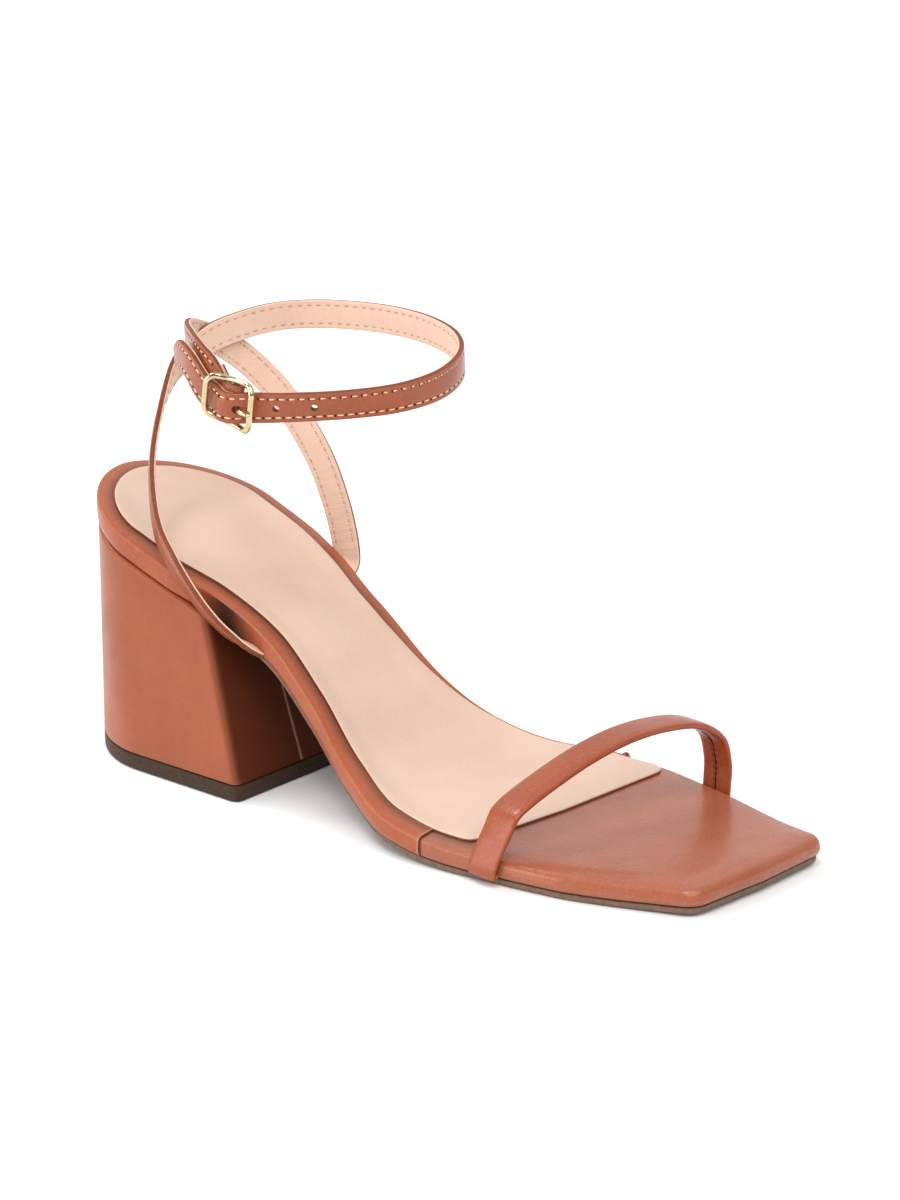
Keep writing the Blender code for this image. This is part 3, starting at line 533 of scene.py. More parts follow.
def makeFootbed():
    outer = soleSide(-1)
    loop = closedLoop(outer, soleSide(1))
    count = len(loop)
    radius = between(footbed["edgeRound"], loop[:, 0])
    outward = unit(loop - inset(loop, 1.0))
    rings = []
    raised = []  # way in which a second layer of leather lifts each point
    for turn in np.linspace(0, math.pi / 2, footbed["edgeSteps"]):
        away = radius * (1 - math.sin(turn))
        edge = inset(loop, away[:, None])
        rings.append(np.c_[edge, soleTop(edge[:, 0]) - fallAt(edge, away) - radius * (1 - math.cos(turn))])
        raised.append(np.c_[outward * math.sin(turn), np.full(count, math.cos(turn))])
    wallTop = rings[-1][:, 2]
    wallFoot = soleUnder(loop[:, 0]) + footbed["underRound"]
    for share in np.linspace(0, 1, footbed["wallSteps"])[1:]:
        edge = loop + outward * footbed["wallBulge"] * math.sin(math.pi * share)
        rings.append(np.c_[edge, wallTop * (1 - share) + wallFoot * share])
        raised.append(np.c_[outward, np.zeros(count)])
    for turn in footbed["underTurns"]:
        edge = inset(loop, footbed["underRound"] * (1 - math.cos(turn * math.pi / 2)))
        rings.append(np.c_[edge, wallFoot - footbed["underRound"] * math.sin(turn * math.pi / 2)])
        raised.append(np.c_[outward * (1 - turn), np.zeros(count)])
    verts, faces, top = capped(rings, 0, cornerIndex(len(outer), sole), sole["capFade"],
                               lambda p: bedTop(p, awayFrom(p, loop)), lambda p: soleUnder(p[:, 0]))
    verts = np.array(verts)
    x, y = verts[:, 0], verts[:, 1]
    rim = len(rings) * count
    lift = np.zeros_like(verts)
    lift[:rim] = np.concatenate(raised)
    lift[rim:top, 2] = 1.0
    laid = np.any(lift != 0, axis=1)
    past = x - lapAt(verts)
    step = footbed["lapStep"] * (1 - rise(past, footbed["lapRamp"])) * rise(x, footbed["lapGrow"])
    tip = footbed["tipHigh"] * bump(past, footbed["tipAt"], footbed["tipReach"]) * rise(y, footbed["tipSpan"])
    tip[rim:] = 0
    raw = between(footbed["rawLine"], past) * laid * (1 - rise(y, footbed["rawSpan"]))
    seam = np.maximum(between(footbed["seamLine"], past) * laid, tip * footbed["tipShade"])
    # painted shade on the top beside the sock, none on the rim's rounding or wall, fading out towards the toe
    paintedRimShade = footbed["paintedRimShade"] * rise(awayFrom(verts, loop), footbed["paintedRimShadeSpan"])
    paintedRimShade *= 1 - rise(x, footbed["paintedRimShadeEnd"])
    paintedRimShade[:rim] = 0
    # painted shadow on the outer wall and lower rounding where the quarter strap lies close
    paintedStrapShade = bump(x, footbed["paintedStrapShadeAt"], footbed["paintedStrapShadeReach"]) * (y < 0)  # dark where the strap lies close
    paintedStrapShade[:footbed["edgeSteps"] // 2 * count] = 0
    paintedStrapShade[rim:] = 0
    wraps = [0 if np.mean(past[list(face)]) > 0 else 1 for face in faces]
    verts += lift * (step + tip)[:, None]
    run = verts[:, :2] * mm
    length = chord(np.c_[loop, np.zeros(count)])
    for r in range(len(rings)):
        run[r * count:(r + 1) * count] = np.stack([length * mm, np.full(count, r * mm)], -1)
    marks = {"seam": seam, "raw": raw, "paintedRimShade": paintedRimShade, "paintedStrapShade": paintedStrapShade}
    piece = addPiece("footbedWrap", verts, faces, [wrapLeather, backLeather], wraps, run, marks)
    settle(piece, "wrap_leather", "footbed")
    return loop


soleLoop = makeFootbed()
print("footbed wrapped")


# outsole: thin rubber sheet under the footbed

outsole = {
    "gap": 0.25, "thick": 1.65, "inset": 0.8, "back": 59.8, "lead": 1.0,
    "rings": (  # inwards, share of the way down, up again at the bevel
        (0.25, 0.0, 0.0), (0.0, 0.12, 0.0), (0.0, 0.5, 0.0), (0.0, 1.0, 0.4), (0.15, 1.0, 0.15),
        (0.4, 1.0, 0.0)),
}


def outsoleSide(sign, across):
    run = soleSide(sign)
    run = run[run[:, 0] > outsole["back"] + outsole["lead"]]
    middle = np.array([outsole["back"], 0.0])
    corner = np.array([outsole["back"], sign * halfWidth(outsole["back"], sign)])
    return np.concatenate([[middle], straight(middle, corner, across + 1), run])


def makeOutsole():
    size = len(soleSide(-1))
    across = size - 1 - cornerIndex(size, sole)  # half of the strips from side to side
    sides = [outsoleSide(sign, across) for sign in (-1, 1)]
    size = min(len(side) for side in sides)
    sides = [np.concatenate([side[:across + 1], side[len(side) - (size - across - 1):]]) for side in sides]
    loop = closedLoop(*sides)

    def upper(x):
        return soleUnder(x) - outsole["gap"]

    def lower(x):
        return np.maximum(upper(x) - outsole["thick"], 0.0)

    rings = []
    for step, share, lift in outsole["rings"]:
        edge = inset(loop, outsole["inset"] + step)
        edge[:, 0] = np.maximum(edge[:, 0], outsole["back"])
        rings.append(atHeight(edge, lambda x: upper(x) * (1 - share) + lower(x) * share + lift))
    verts, faces, _ = capped(rings, across, cornerIndex(size, sole), sole["capFade"],
                             lambda p: upper(p[:, 0]), lambda p: lower(p[:, 0]))
    piece = addPiece("outsoleSheet", verts, faces, [finish["soleEdge"]], sharp=40.0)
    settle(piece, "sole_edge", "outsole")


makeOutsole()
print("outsole made")


# sock: nude lining glued on the footbed

sock = {
    "lift": 0.15, "thick": 0.7, "edge": 0.4, "steps": 110, "cornerOuter": 3.5, "cornerInner": 6.0, "bow": 0.6,
    "marginOuter": ((0, 5.2), (220, 5.8)),  # station, bare rim beside the sock
    "marginInner": ((0, 5.2), (82, 5.3), (100, 3.0), (114, 1.8), (220, 1.8)),
    "frontOuter": 150.5, "frontInner": 160.0, "frontSteps": 18, "cornerSteps": 9, "cornerSkip": 6,
    "capFade": 20.0,
    "rings": (  # inwards as a share of the edge, height as a share of the thickness
        (1.8, 1.0), (0.9, 0.97), (0.35, 0.86), (0.0, 0.62), (0.0, 0.0), (1.0, 0.0)),
}


def sockSide(sign):
    name = "Outer" if sign < 0 else "Inner"
    margin = sock["margin" + name]
    edge = margin[0][1]
    reach = sole["seatRound"]
    back = roundedBack(edge, reach - edge, halfWidth(reach, sign) - edge)
    x = np.linspace(reach, sock["front" + name], sock["steps"])[1:]
    run = np.stack([x, halfWidth(x, sign) - between(margin, x)], -1)
    tip = (sock["frontOuter"] + sock["frontInner"]) / 2 + sock["bow"]
    return roundTheFront(sign, back, run, slice(-sock["cornerSkip"]), tip, sock["corner" + name], sock)


def makeSock():
    outer = sockSide(-1)
    loop = closedLoop(outer, sockSide(1))
    count = len(loop)

    def above(share):
        return lambda p: bedTop(p, awayFrom(p, soleLoop)) + sock["lift"] + sock["thick"] * share

    rings = []
    for step, share in sock["rings"]:
        edge = inset(loop, sock["edge"] * step)
        rings.append(np.c_[edge, above(share)(edge)])
    front = cornerIndex(len(outer), sock)
    verts, faces, _ = capped(rings, 0, front, sock["capFade"], above(1.0), above(0.0))
    # the lower part of the cut edge is dark: edge paint with a painted contact shadow under the sock
    slots = [0] * (3 * count) + [1] * (2 * count)  # only the lower part of the cut edge is dark
    slots += [0] * (len(faces) - len(slots))
    piece = addPiece("sockLining", verts, faces, [sockLeather, finish["sockEdgePaintAndShade"]], slots, sharp=50.0)
    settle(piece, "nude_lining", "sock_lining")


makeSock()
print("sock laid")


# heel: leather drawn over a flared block, with its seam on the breast

heel = {
    "top": (0.7, 27.7, 30.2, 58.3, 28.7),  # back, length of the round, half width, front, half width there
    "foot": (-2.5, 35.0, 31.4, 72.0, 33.4),
    "corner": 2.8, "edge": 1.2, "liftThick": 4.4, "gap": 0.3, "hem": (0.4, 0.12), "edgeSteps": 6,
    "levels": 26, "cornerSteps": 11, "frontSteps": 34, "sideSteps": 26, "capFade": 10.0,
    "seamY": -7.0, "seamDeep": 0.22, "seamReach": 0.3,
    "seamCrowd": (1.1, 0.55, 0.25, 0.0, -0.25, -0.55, -1.1),
    "dullFrom": 0.95,  # share of the breast's shade from which the leather is dull
    "liftRings": (  # inwards, height
        (0.3, 4.4), (0.0, 4.1), (0.0, 2.2), (0.0, 0.6), (0.18, 0.18), (0.6, 0.0)),
}


def heelLoop(row, shrink=0.0):
    back, length, half, front, halfFront = row
    side = roundedBack(back, length, half)
    middle = np.array([front, 0.0])
    turn = roundCorner(side[-1], np.array([front, halfFront]), middle, heel["corner"], heel["cornerSteps"])
    run = straight(side[-1], turn[0], heel["sideSteps"])[:-1]
    flat = straight(turn[-1], middle, heel["frontSteps"])
    near = np.argmin(np.abs(flat[:, 1] + heel["seamY"]))  # more points at the seam
    crowd = np.array(heel["seamCrowd"])
    first = near - len(crowd) // 2
    flat[first:first + len(crowd), 1] = crowd - heel["seamY"]
    side = np.concatenate([side, run, turn, flat])
    return inset(closedLoop(side * (1, -1), side), shrink)


def makeHeel():
    def seat(x):
        return soleUnder(x) - heel["gap"]

    footHeight = heel["liftThick"] + heel["gap"]
    crown = atHeight(heelLoop(heel["top"]), seat)
    count = len(crown)
    rings = []
    for turn in np.linspace(0, math.pi / 2, heel["edgeSteps"])[:-1]:  # rounded shoulder under the footbed
        brow = atHeight(heelLoop(heel["top"], heel["edge"] * (1 - math.sin(turn))), seat)
        brow[:, 2] -= heel["edge"] * (1 - math.cos(turn))
        rings.append(brow)
    hem, hemStep = heel["hem"]
    shoulder = crown - np.array([0, 0, heel["edge"]])
    foot = atHeight(heelLoop(heel["foot"]), level(footHeight + hem))
    for share in np.linspace(0, 1, heel["levels"]):
        rings.append(shoulder * (1 - share) + foot * share)
    for shrink, high in ((hemStep, hemStep), (hem, 0.0)):
        rings.append(atHeight(heelLoop(heel["foot"], shrink), level(footHeight + high)))
    rings = np.array(rings)
    order = np.abs(np.arange(count) - count // 2)  # steps from the middle of the breast
    seam = bump(rings[:, :, 1], heel["seamY"], heel["seamReach"]) * (order <= heel["frontSteps"] + 1)
    rings[:, :, 0] -= heel["seamDeep"] * seam
    front = cornerIndex(count // 2, heel)
    verts, faces, _ = capped(rings, 0, front, heel["capFade"], lambda p: seat(p[:, 0]), level(footHeight))
    spare = np.zeros(len(verts) - seam.size)
    # painted shade over the breast, fading round its front corners
    shade = 1 - rise((order - heel["frontSteps"] + 1) / heel["cornerSteps"])
    paintedBreastShade = np.r_[np.tile(shade, len(rings)), spare]
    dull = [1 if paintedBreastShade[list(face)].min() > heel["dullFrom"] else 0 for face in faces]
    marks = {"seam": np.r_[seam.ravel(), spare], "paintedBreastShade": paintedBreastShade}
    piece = addPiece("heelCover", verts, faces, [heelLeather, breastLeather], dull, marks=marks, sharp=60.0)
    settle(piece, "heel_leather", "heel_block")

    rings = [atHeight(heelLoop(heel["foot"], shrink), level(z)) for shrink, z in heel["liftRings"]]
    verts, faces, _ = capped(rings, 0, front, heel["capFade"], level(heel["liftThick"]), level(0.0))
    piece = addPiece("heelLift", verts, faces, [finish["darkLift"]], sharp=40.0)
    settle(piece, "dark_lift", "heel_lift")


makeHeel()
print("heel covered")


# straps

def frameAlong(centre, face):
    ahead = unit(np.gradient(centre, axis=0))
    out = unit(face - ahead * (face * ahead).sum(-1, keepdims=True))
    return np.cross(out, ahead), out


def sweep(name, centre, face, section, tags, materials, sharp=50.0):
    # section(i) gives the (across, out) points of step i, tags the material of each side of the section
    across, out = frameAlong(centre, face)
    verts = []
    run = []
    length = chord(centre)
    for i in range(len(centre)):
        points = section(i)
        girth = 0.0
        for k, (a, o) in enumerate(points):
            verts.append(centre[i] + a * across[i] + o * out[i])
            if k:
                girth += math.dist(points[k], points[k - 1])
            run.append((length[i] * mm, girth * mm))
    count = len(section(0))
    faces = wallFaces(count, len(centre))
    slots = [tags[k % count] for k in range(len(faces))]
    for base in (0, (len(centre) - 1) * count):  # cut ends
        middle = len(verts)
        verts.append(np.mean(verts[base:base + count], axis=0))
        run.append(run[base])
        faces += [(middle, base + k, base + (k + 1) % count) for k in range(count)]
        slots += [tags[0] if len(materials) < 2 else 1] * count
    return addPiece(name, verts, faces, materials, slots, run, sharp=sharp)


strap = {
    "width": 8.0, "thick": 1.7, "outerShare": 0.74, "step": 0.8, "tipLength": 6.0, "tipWidth": 4.6,
    "rowIn": 1.45, "crown": 0.10, "groove": 0.14, "grooveInner": 0.084, "grooveReach": 0.42,
    "edge": 0.34, "edgeShare": 0.2, "edgeTurn": (0.3, 0.7), "lip": 0.1, "splitIn": 0.12, "liningIn": 0.03,
    "hemIn": 0.13, "hemUp": 0.08,  # profile of the raw edge
    "outerAt": (1.0, 0.86, 0.72, 0.6, 0.45, 0.25, 0.0), "innerAt": (1.0, 0.86, 0.72, 0.6, 0.4, 0.0),
    "longRoute": (  # x, y, z, bearing of the outer face, its dip
        (73.5, -18.0, 40.5, 182, 57), (72.8, -21.8, 40.9, 192, 57), (70.6, -25.5, 42.1, 230, 54),
        (67.2, -27.7, 44.3, 244, 41), (63.2, -28.9, 47.2, 240, 28), (57.6, -30.0, 52.4, 238, 16),
        (49.0, -30.5, 61.8, 236, 3), (41.6, -28.5, 69.1, 233, 0), (35.0, -23.9, 78.9, 230, 0),
        (30.4, -18.6, 89.0, 230, 0), (28.7, -12.5, 101.5, 227, 0), (28.7, -5.6, 110.6, 206, 0),
        (29.7, 5.6, 116.3, 170, 0), (33.6, 14.6, 119.3, 156, 0), (39.0, 22.8, 121.2, 146, 0),
        (46.4, 30.5, 121.7, 128, 0), (56.8, 35.9, 121.5, 110, 0), (69.8, 38.2, 120.9, 92, 0),
        (83.9, 36.6, 119.6, 70, 0), (97.2, 30.6, 117.6, 45, 0), (106.9, 20.1, 115.1, 23, 0),
        (110.8, 6.5, 112.4, 2, 3), (108.4, -7.3, 110.7, -20, 13), (100.3, -18.8, 109.8, -46, 19),
        (88.9, -26.7, 109.0, -64, 17), (80.5, -30.3, 108.5, -77, 8), (73.5, -32.0, 108.6, -88, 0),
        (65.0, -32.1, 111.1, -100, 0), (57.0, -29.8, 116.7, -112, 0), (50.5, -26.2, 118.2, -119, 0),
        (44.8, -22.4, 116.9, -123, 0)),
    "shortRoute": (
        (58.9, 15.6, 49.8, 180, 65), (58.9, 20.5, 49.8, 180, 65), (58.9, 25.4, 50.1, 150, 62),
        (58.5, 28.4, 51.5, 118, 36), (57.9, 29.5, 54.6, 108, 10), (56.9, 29.7, 59.5, 110, 2),
        (54.6, 29.2, 68.5, 114, 0), (49.8, 27.8, 81.5, 120, 0), (41.3, 24.3, 96.5, 132, 0),
        (34.3, 18.8, 107.0, 143, 0), (29.7, 10.8, 114.5, 160, 0), (28.2, 4.6, 117.3, 178, 0),
        (30.2, -1.0, 119.0, 208, 0), (33.5, -6.2, 119.6, 221, 0), (38.0, -11.2, 119.8, 227, 0),
        (42.5, -15.3, 120.0, 229, 0), (47.0, -19.0, 120.0, 232, 0), (51.3, -22.4, 119.8, 237, 0),
        (55.0, -25.0, 119.3, 242, 0)),
    "leafRoute": (  # along, across and out of the buckle
        (-15.2, 7.2, -5.9), (-10.2, 6.2, -3.4), (-7.4, 4.6, -2.3), (-5.4, 3.2, -1.5), (-3.6, 2.2, -0.4),
        (-1.8, 1.7, 0.95), (-0.6, 1.6, 1.4), (0.6, 1.6, 1.42), (1.9, 1.6, 1.25), (2.7, 1.6, 0.75),
        (2.95, 1.6, 0.05), (2.6, 1.6, -0.65), (1.6, 1.6, -1.1), (0.0, 1.6, -1.5), (-3.6, 2.0, -2.8),
        (-6.5, 3.4, -4.0), (-9.0, 5.0, -5.4)),
    "leafThick": 0.8, "leafSkive": (1, 3), "crossLift": 0.62, "crossReach": 11.0, "crossRow": 11,
    "buckleRow": 26, "hump": 2.9, "humpReach": 3.8, "punch": 8.0, "punchSides": 28,
    "prongHole": (3.1, 1.0), "holes": (12.7, 22.5), "holeRadius": 0.95,
}


def facing(rows):
    face = np.radians(rows[:, 3])
    dip = np.radians(rows[:, 4])
    return np.stack([np.cos(dip) * np.cos(face), np.cos(dip) * np.sin(face), -np.sin(dip)], -1)


longRows = np.array(strap["longRoute"], float)
shortRows = np.array(strap["shortRoute"], float)
longReach = chord(longRows)
buckleAt = longReach[strap["buckleRow"]]


def alongStrap(places, faces, steps):
    route = through(np.concatenate([places, faces], 1), steps)
    return route[:, :3], unit(route[:, 3:])


def buckleAxes():
    k = strap["buckleRow"]
    along = unit(longRows[k - 1, :3] - longRows[k + 1, :3])
    face = facing(longRows)[k]
    out = unit(face - along * (face @ along))
    return longRows[k, :3], along, np.cross(out, along), out


def inBuckle(points):
    middle, along, across, out = buckleAxes()
    p = np.asarray(points, float)
    return middle + p[:, :1] * along + p[:, 1:2] * across + p[:, 2:3] * out


def bandSection(width, thick):  # outer leather over a lining
    w = width / 2
    t = thick / 2
    e = min(strap["edge"], thick * strap["edgeShare"])
    split = t - thick * strap["outerShare"]
    full = thick / strap["thick"]
    outer = []
    for a in mirrored(strap["outerAt"]) * (w - e):  # domed, and drawn in along the stitches
        row = bump(abs(a), w - strap["rowIn"], strap["grooveReach"])
        outer.append((a, t + full * (strap["crown"] * (1 - (a / w) ** 2) - strap["groove"] * row)))
    lip = strap["lip"]
    turnOver, turnUnder = strap["edgeTurn"]
    left = [  # raw edge with a groove between the two layers
        (-w + lip, t - e * turnOver), (-w, t - e), (-w, split + lip), (-w + strap["splitIn"], split),
        (-w + strap["liningIn"], split - lip), (-w + strap["liningIn"], -t + e * turnUnder),
        (-w + strap["hemIn"], -t + strap["hemUp"])]
    inner = []
    for a in -mirrored(strap["innerAt"]) * (w - e):
        row = bump(abs(a), w - strap["rowIn"], strap["grooveReach"])
        inner.append((a, -t + full * strap["grooveInner"] * row))
    return outer + left + inner + [(-a, o) for a, o in left[::-1]]


bandTags = [0] * 13 + [1] * 3 + [3] * 3 + [2] * 12 + [3] * 3 + [1] * 3 + [0]
bandMaterials = [strapLeather, finish["edgePaint"], liningLeather, finish["liningEdge"]]


def holeThrough(piece, middle, along, out, radius):
    cutter = bpy.data.meshes.new("punch")
    shape = bmesh.new()
    place = standing(along, np.cross(out, along), out, toWorld(middle))
    bmesh.ops.create_cone(shape, cap_ends=True, segments=strap["punchSides"], radius1=radius * mm,
                          radius2=radius * mm, depth=strap["punch"] * mm, matrix=place)
    shape.to_mesh(cutter)
    shape.free()
    cutter.materials.append(finish["edgePaint"])
    cut = piece.modifiers.new("punch", "BOOLEAN")
    cut.operation = "DIFFERENCE"
    cut.solver = "EXACT"
    cut.material_mode = "TRANSFER"
    cut.object = intoScene("punch", cutter)
    return cut.object


def makeLongStrap():
    steps = np.linspace(0, longReach[-1], int(longReach[-1] / strap["step"]))
    faces = facing(longRows)
    centre, face = alongStrap(longRows[:, :3], faces, steps)
    centre = centre + face * (strap["hump"] * bump(steps, buckleAt, strap["humpReach"]))[:, None]
    narrowing = np.clip(1 - (longReach[-1] - steps) / strap["tipLength"], 0, 1) ** 2
    width = strap["width"] - (strap["width"] - strap["tipWidth"]) * narrowing
    piece = sweep("ankleStrapLong", centre, face, lambda i: bandSection(width[i], strap["thick"]),
                  bandTags, bandMaterials)
    _, along, _, out = buckleAxes()
    at, radius = strap["prongHole"]
    punches = [holeThrough(piece, inBuckle([(at, 0.0, strap["hump"] / 2)])[0], along, out, radius)]
    for distance in strap["holes"]:
        spots, looks = alongStrap(longRows[:, :3], faces, buckleAt - distance + np.array([-1.0, 0.0, 1.0]))
        ahead = unit(spots[0] - spots[2])
        outward = unit(looks[1] - ahead * (looks[1] @ ahead))
        punches.append(holeThrough(piece, spots[1], ahead, outward, strap["holeRadius"]))
    bake(piece)
    for punch in punches:
        bpy.data.objects.remove(punch, do_unlink=True)
    shaded(piece.data, sharp=50)
    settle(piece, "strap_leather", "ankle_strap")
    return centre, face, steps, strap["thick"] / 2


def makeShortStrap():
    fold = inBuckle(strap["leafRoute"])
    joined = np.concatenate([shortRows[:, :3], fold])
    reach = chord(joined)
    start = len(shortRows)
    thinner, thinnest = (reach[start + k] for k in strap["leafSkive"])
    steps = np.concatenate([np.arange(0, reach[start], strap["step"]),
                            np.arange(reach[start], reach[-1], strap["step"] / 2)])
    across = buckleAxes()[2]
    turn = np.gradient(fold, axis=0)
    turn = unit(turn - np.outer(turn @ across, across))
    centre, face = alongStrap(joined, np.concatenate([facing(shortRows), np.cross(turn, across)]), steps)
    lift = strap["crossLift"] * bump(steps, reach[strap["crossRow"]], strap["crossReach"])
    centre = centre + face * lift[:, None]
    thick = np.interp(steps, [thinner, thinnest], [strap["thick"], strap["leafThick"]])
    piece = sweep("ankleStrapShort", centre, face, lambda i: bandSection(strap["width"], thick[i]),
                  bandTags, bandMaterials)
    settle(piece, "strap_leather", "ankle_strap")
    return (centre, face, steps, strap["thick"] / 2), thinner


longPath = makeLongStrap()
shortPath, shortEnd = makeShortStrap()
print("ankle strap made")


# toe strap: leather folded round a soft pad, its seam along the inside

toeStrap = {
    "width": 9.8, "slant": -0.23, "footWidth": 8.6, "footSlant": -0.07, "leg": (4, 8), "step": 0.5,
    "round": 33, "square": 0.40, "crown": 0.18 / 1.35, "underSquare": 8, "seamDeep": 0.35, "seamReach": 0.28,
    "underAt": (0.97, 0.9, 0.7, 0.4, 0.15, 0.08, 0.04, 0.0),
    "route": (  # x, y, z, thickness
        (158.2, -30.5, 3.1, 1.1), (158.1, -35.9, 2.9, 1.1), (158.0, -37.0, 2.3, 1.1),
        (158.0, -37.4, 2.7, 1.2), (158.1, -37.3, 4.2, 1.3), (158.4, -36.6, 6.2, 1.4),
        (159.0, -34.9, 9.6, 1.6), (159.7, -32.9, 13.3, 1.8), (160.4, -31.2, 16.8, 1.9),
        (161.0, -27.9, 18.8, 2.0), (162.3, -18.8, 21.8, 2.0), (165.3, -5.8, 26.0, 2.0),
        (168.4, 7.3, 28.5, 2.0), (171.3, 20.0, 28.6, 2.0), (173.9, 31.3, 26.5, 2.0),
        (175.7, 38.6, 21.4, 2.0), (176.3, 40.9, 14.0, 1.9), (176.3, 40.9, 8.4, 1.6),
        (176.2, 40.5, 4.2, 1.4), (176.1, 38.6, 1.9, 1.3), (176.0, 33.6, 1.8, 1.3)),
    "knees": (8, 15),  # rows of the route
    "creases": ((-2.6, 0.05, 0.7), (-0.6, 0.08, 0.6), (1.3, 0.06, 0.7)),  # from the knee, depth, reach
}


def makeToeStrap():
    rows = np.array(toeStrap["route"])
    reach = chord(rows)
    steps = np.linspace(0, reach[-1], int(reach[-1] / toeStrap["step"]))
    route = through(rows, steps)
    centre = route[:, :3]
    thick = route[:, 3]
    leg = [reach[k] for k in toeStrap["leg"]]  # the outer leg turns along the wall and narrows to its foot
    slant = np.interp(steps, leg, [toeStrap["footSlant"], toeStrap["slant"]])
    width = np.interp(steps, leg, [toeStrap["footWidth"], toeStrap["width"]])
    lengthways = unit(np.column_stack([np.ones(len(steps)), slant, np.zeros(len(steps))]))
    face = np.cross(lengthways, unit(np.gradient(centre, axis=0)))
    fold = np.zeros(len(steps))
    for knee in toeStrap["knees"]:
        for at, deep, wide in toeStrap["creases"]:
            fold += deep * bump(steps, reach[knee] + at, wide)
    turns = np.linspace(0, math.pi, toeStrap["round"])
    under = -mirrored(toeStrap["underAt"])

    def section(i):
        w = width[i] / 2
        t = thick[i] / 2
        points = []
        for turn in turns:  # soft crown outside, creased at the knees
            a = math.copysign(abs(math.cos(turn)) ** toeStrap["square"], math.cos(turn))
            o = t * math.sin(turn) ** toeStrap["square"] + (toeStrap["crown"] * t - fold[i]) * (1 - a * a)
            points.append((a * w, o))
        for a in under:  # flat inside with a butted seam
            o = -t * (1 - abs(a) ** toeStrap["underSquare"]) ** 0.5 + fold[i] * (1 - a * a)
            points.append((a * w, o + toeStrap["seamDeep"] * bump(a * w, 0, toeStrap["seamReach"])))
        return points

    tags = [0] * (len(turns) + len(under))
    piece = sweep("toeStrapPad", centre, face, section, tags, [toeLeather], sharp=60.0)
    settle(piece, "strap_leather", "toe_strap")
    return centre, face, steps, thick / 2


toePath = makeToeStrap()
print("toe strap made")


# stitches: one tree for every row, thread on top and a bead of painted shade for the needle hole between

stitches = {  # pitch, length, thickness, shift, wobble, seed, how deep below the face, finish
    "strapStitches": (2.65, 1.95, 0.46, 0.0, 0.05, 7, 0.13, "creamThread"),
    "quarterStitches": (2.65, 2.05, 0.40, 0.0, 0.05, 13, 0.25, "creamThread"),
    # the pricks are beads of painted shade in the needle holes
    "strapPricks": (2.65, 1.0, 1.1, 1.325, 0.0, 1, 0.42, "darkThreadAndHoleShade"),
    "liningStitches": (2.65, 1.35, 0.36, 0.0, 0.08, 11, 0.03, "tanThread"),
    "liningPricks": (2.65, 0.7, 0.7, 1.325, 0.0, 3, 0.34, "liningHoleShade"),
    "toeStrapSeam": (1.7, 0.8, 0.24, 0.0, 0.2, 5, 0.03, "darkThreadAndHoleShade"),
    "toeStrapJoin": (0.9, 1.1, 0.34, 0.0, 0.0, 9, 0.22, "darkThreadAndHoleShade"),
}
sewn = {  # along the straps: where rows begin, where the quarter ends, and what is left bare
    "longBegin": 22.0, "longTurn": 86.0, "shortBegin": 20.0, "shortTurn": 80.0, "gap": 2.0, "end": 3.0,
    "toeEnds": 9.0, "seamSide": 0.62,
}


def stitchTree():
    tree = bpy.data.node_groups.new("stitchRow", "GeometryNodeTree")
    sockets = tree.interface
    sockets.new_socket("Geometry", in_out="INPUT", socket_type="NodeSocketGeometry")
    for name, kind, value in (("Pitch", "Float", 0.003), ("Half Length", "Float", 0.001),
                              ("Half Width", "Float", 0.0002), ("Shift", "Float", 0.0),
                              ("Wobble", "Float", 0.05), ("Seed", "Int", 1), ("Finish", "Material", None)):
        socket = sockets.new_socket(name, in_out="INPUT", socket_type="NodeSocket" + kind)
        if value is not None:
            socket.default_value = value
    sockets.new_socket("Geometry", in_out="OUTPUT", socket_type="NodeSocketGeometry")
    source = add(tree, "NodeGroupInput").outputs

    def node(kind, inputs=None, **props):
        return add(tree, kind, inputs, **props).outputs[0]

    def spread(x, y):
        return node("ShaderNodeCombineXYZ", {"X": x, "Y": y, "Z": y})

    path = node("GeometryNodeMeshToCurve", {"Mesh": source["Geometry"]})
    spaced = node("GeometryNodeResampleCurve", {"Curve": path, "Length": source["Pitch"]}, mode="LENGTH")
    tangent = node("GeometryNodeInputTangent")
    slide = node("ShaderNodeVectorMath", {0: tangent, "Scale": source["Shift"]}, operation="SCALE")
    slid = node("GeometryNodeSetPosition", {"Geometry": spaced, "Offset": slide})
    high = source["Wobble"]
    low = node("ShaderNodeMath", {0: high, 1: -1.0}, operation="MULTIPLY")
    limits = {0: spread(low, low), 1: spread(high, high), "Seed": source["Seed"]}
    shake = node("FunctionNodeRandomValue", limits, data_type="FLOAT_VECTOR")
    aim = node("ShaderNodeVectorMath", {0: tangent, 1: shake}, operation="ADD")
    turned = node("FunctionNodeAlignRotationToVector", {"Vector": aim}, axis="X")
    bead = node("GeometryNodeMeshUVSphere", {"Segments": 8, "Rings": 6, "Radius": 1.0})
    size = spread(source["Half Length"], source["Half Width"])
    inputs = {"Points": slid, "Instance": bead, "Rotation": turned, "Scale": size}
    placed = node("GeometryNodeInstanceOnPoints", inputs)
    real = node("GeometryNodeRealizeInstances", {"Geometry": placed})
    soft = node("GeometryNodeSetShadeSmooth", {"Geometry": real})
    dyed = node("GeometryNodeSetMaterial", {"Geometry": soft, "Material": source["Finish"]})
    add(tree, "NodeGroupOutput", {"Geometry": dyed})
    return tree


sewing = stitchTree()
socketIds = {item.name: item.identifier for item in sewing.interface.items_tree if item.in_out == "INPUT"}


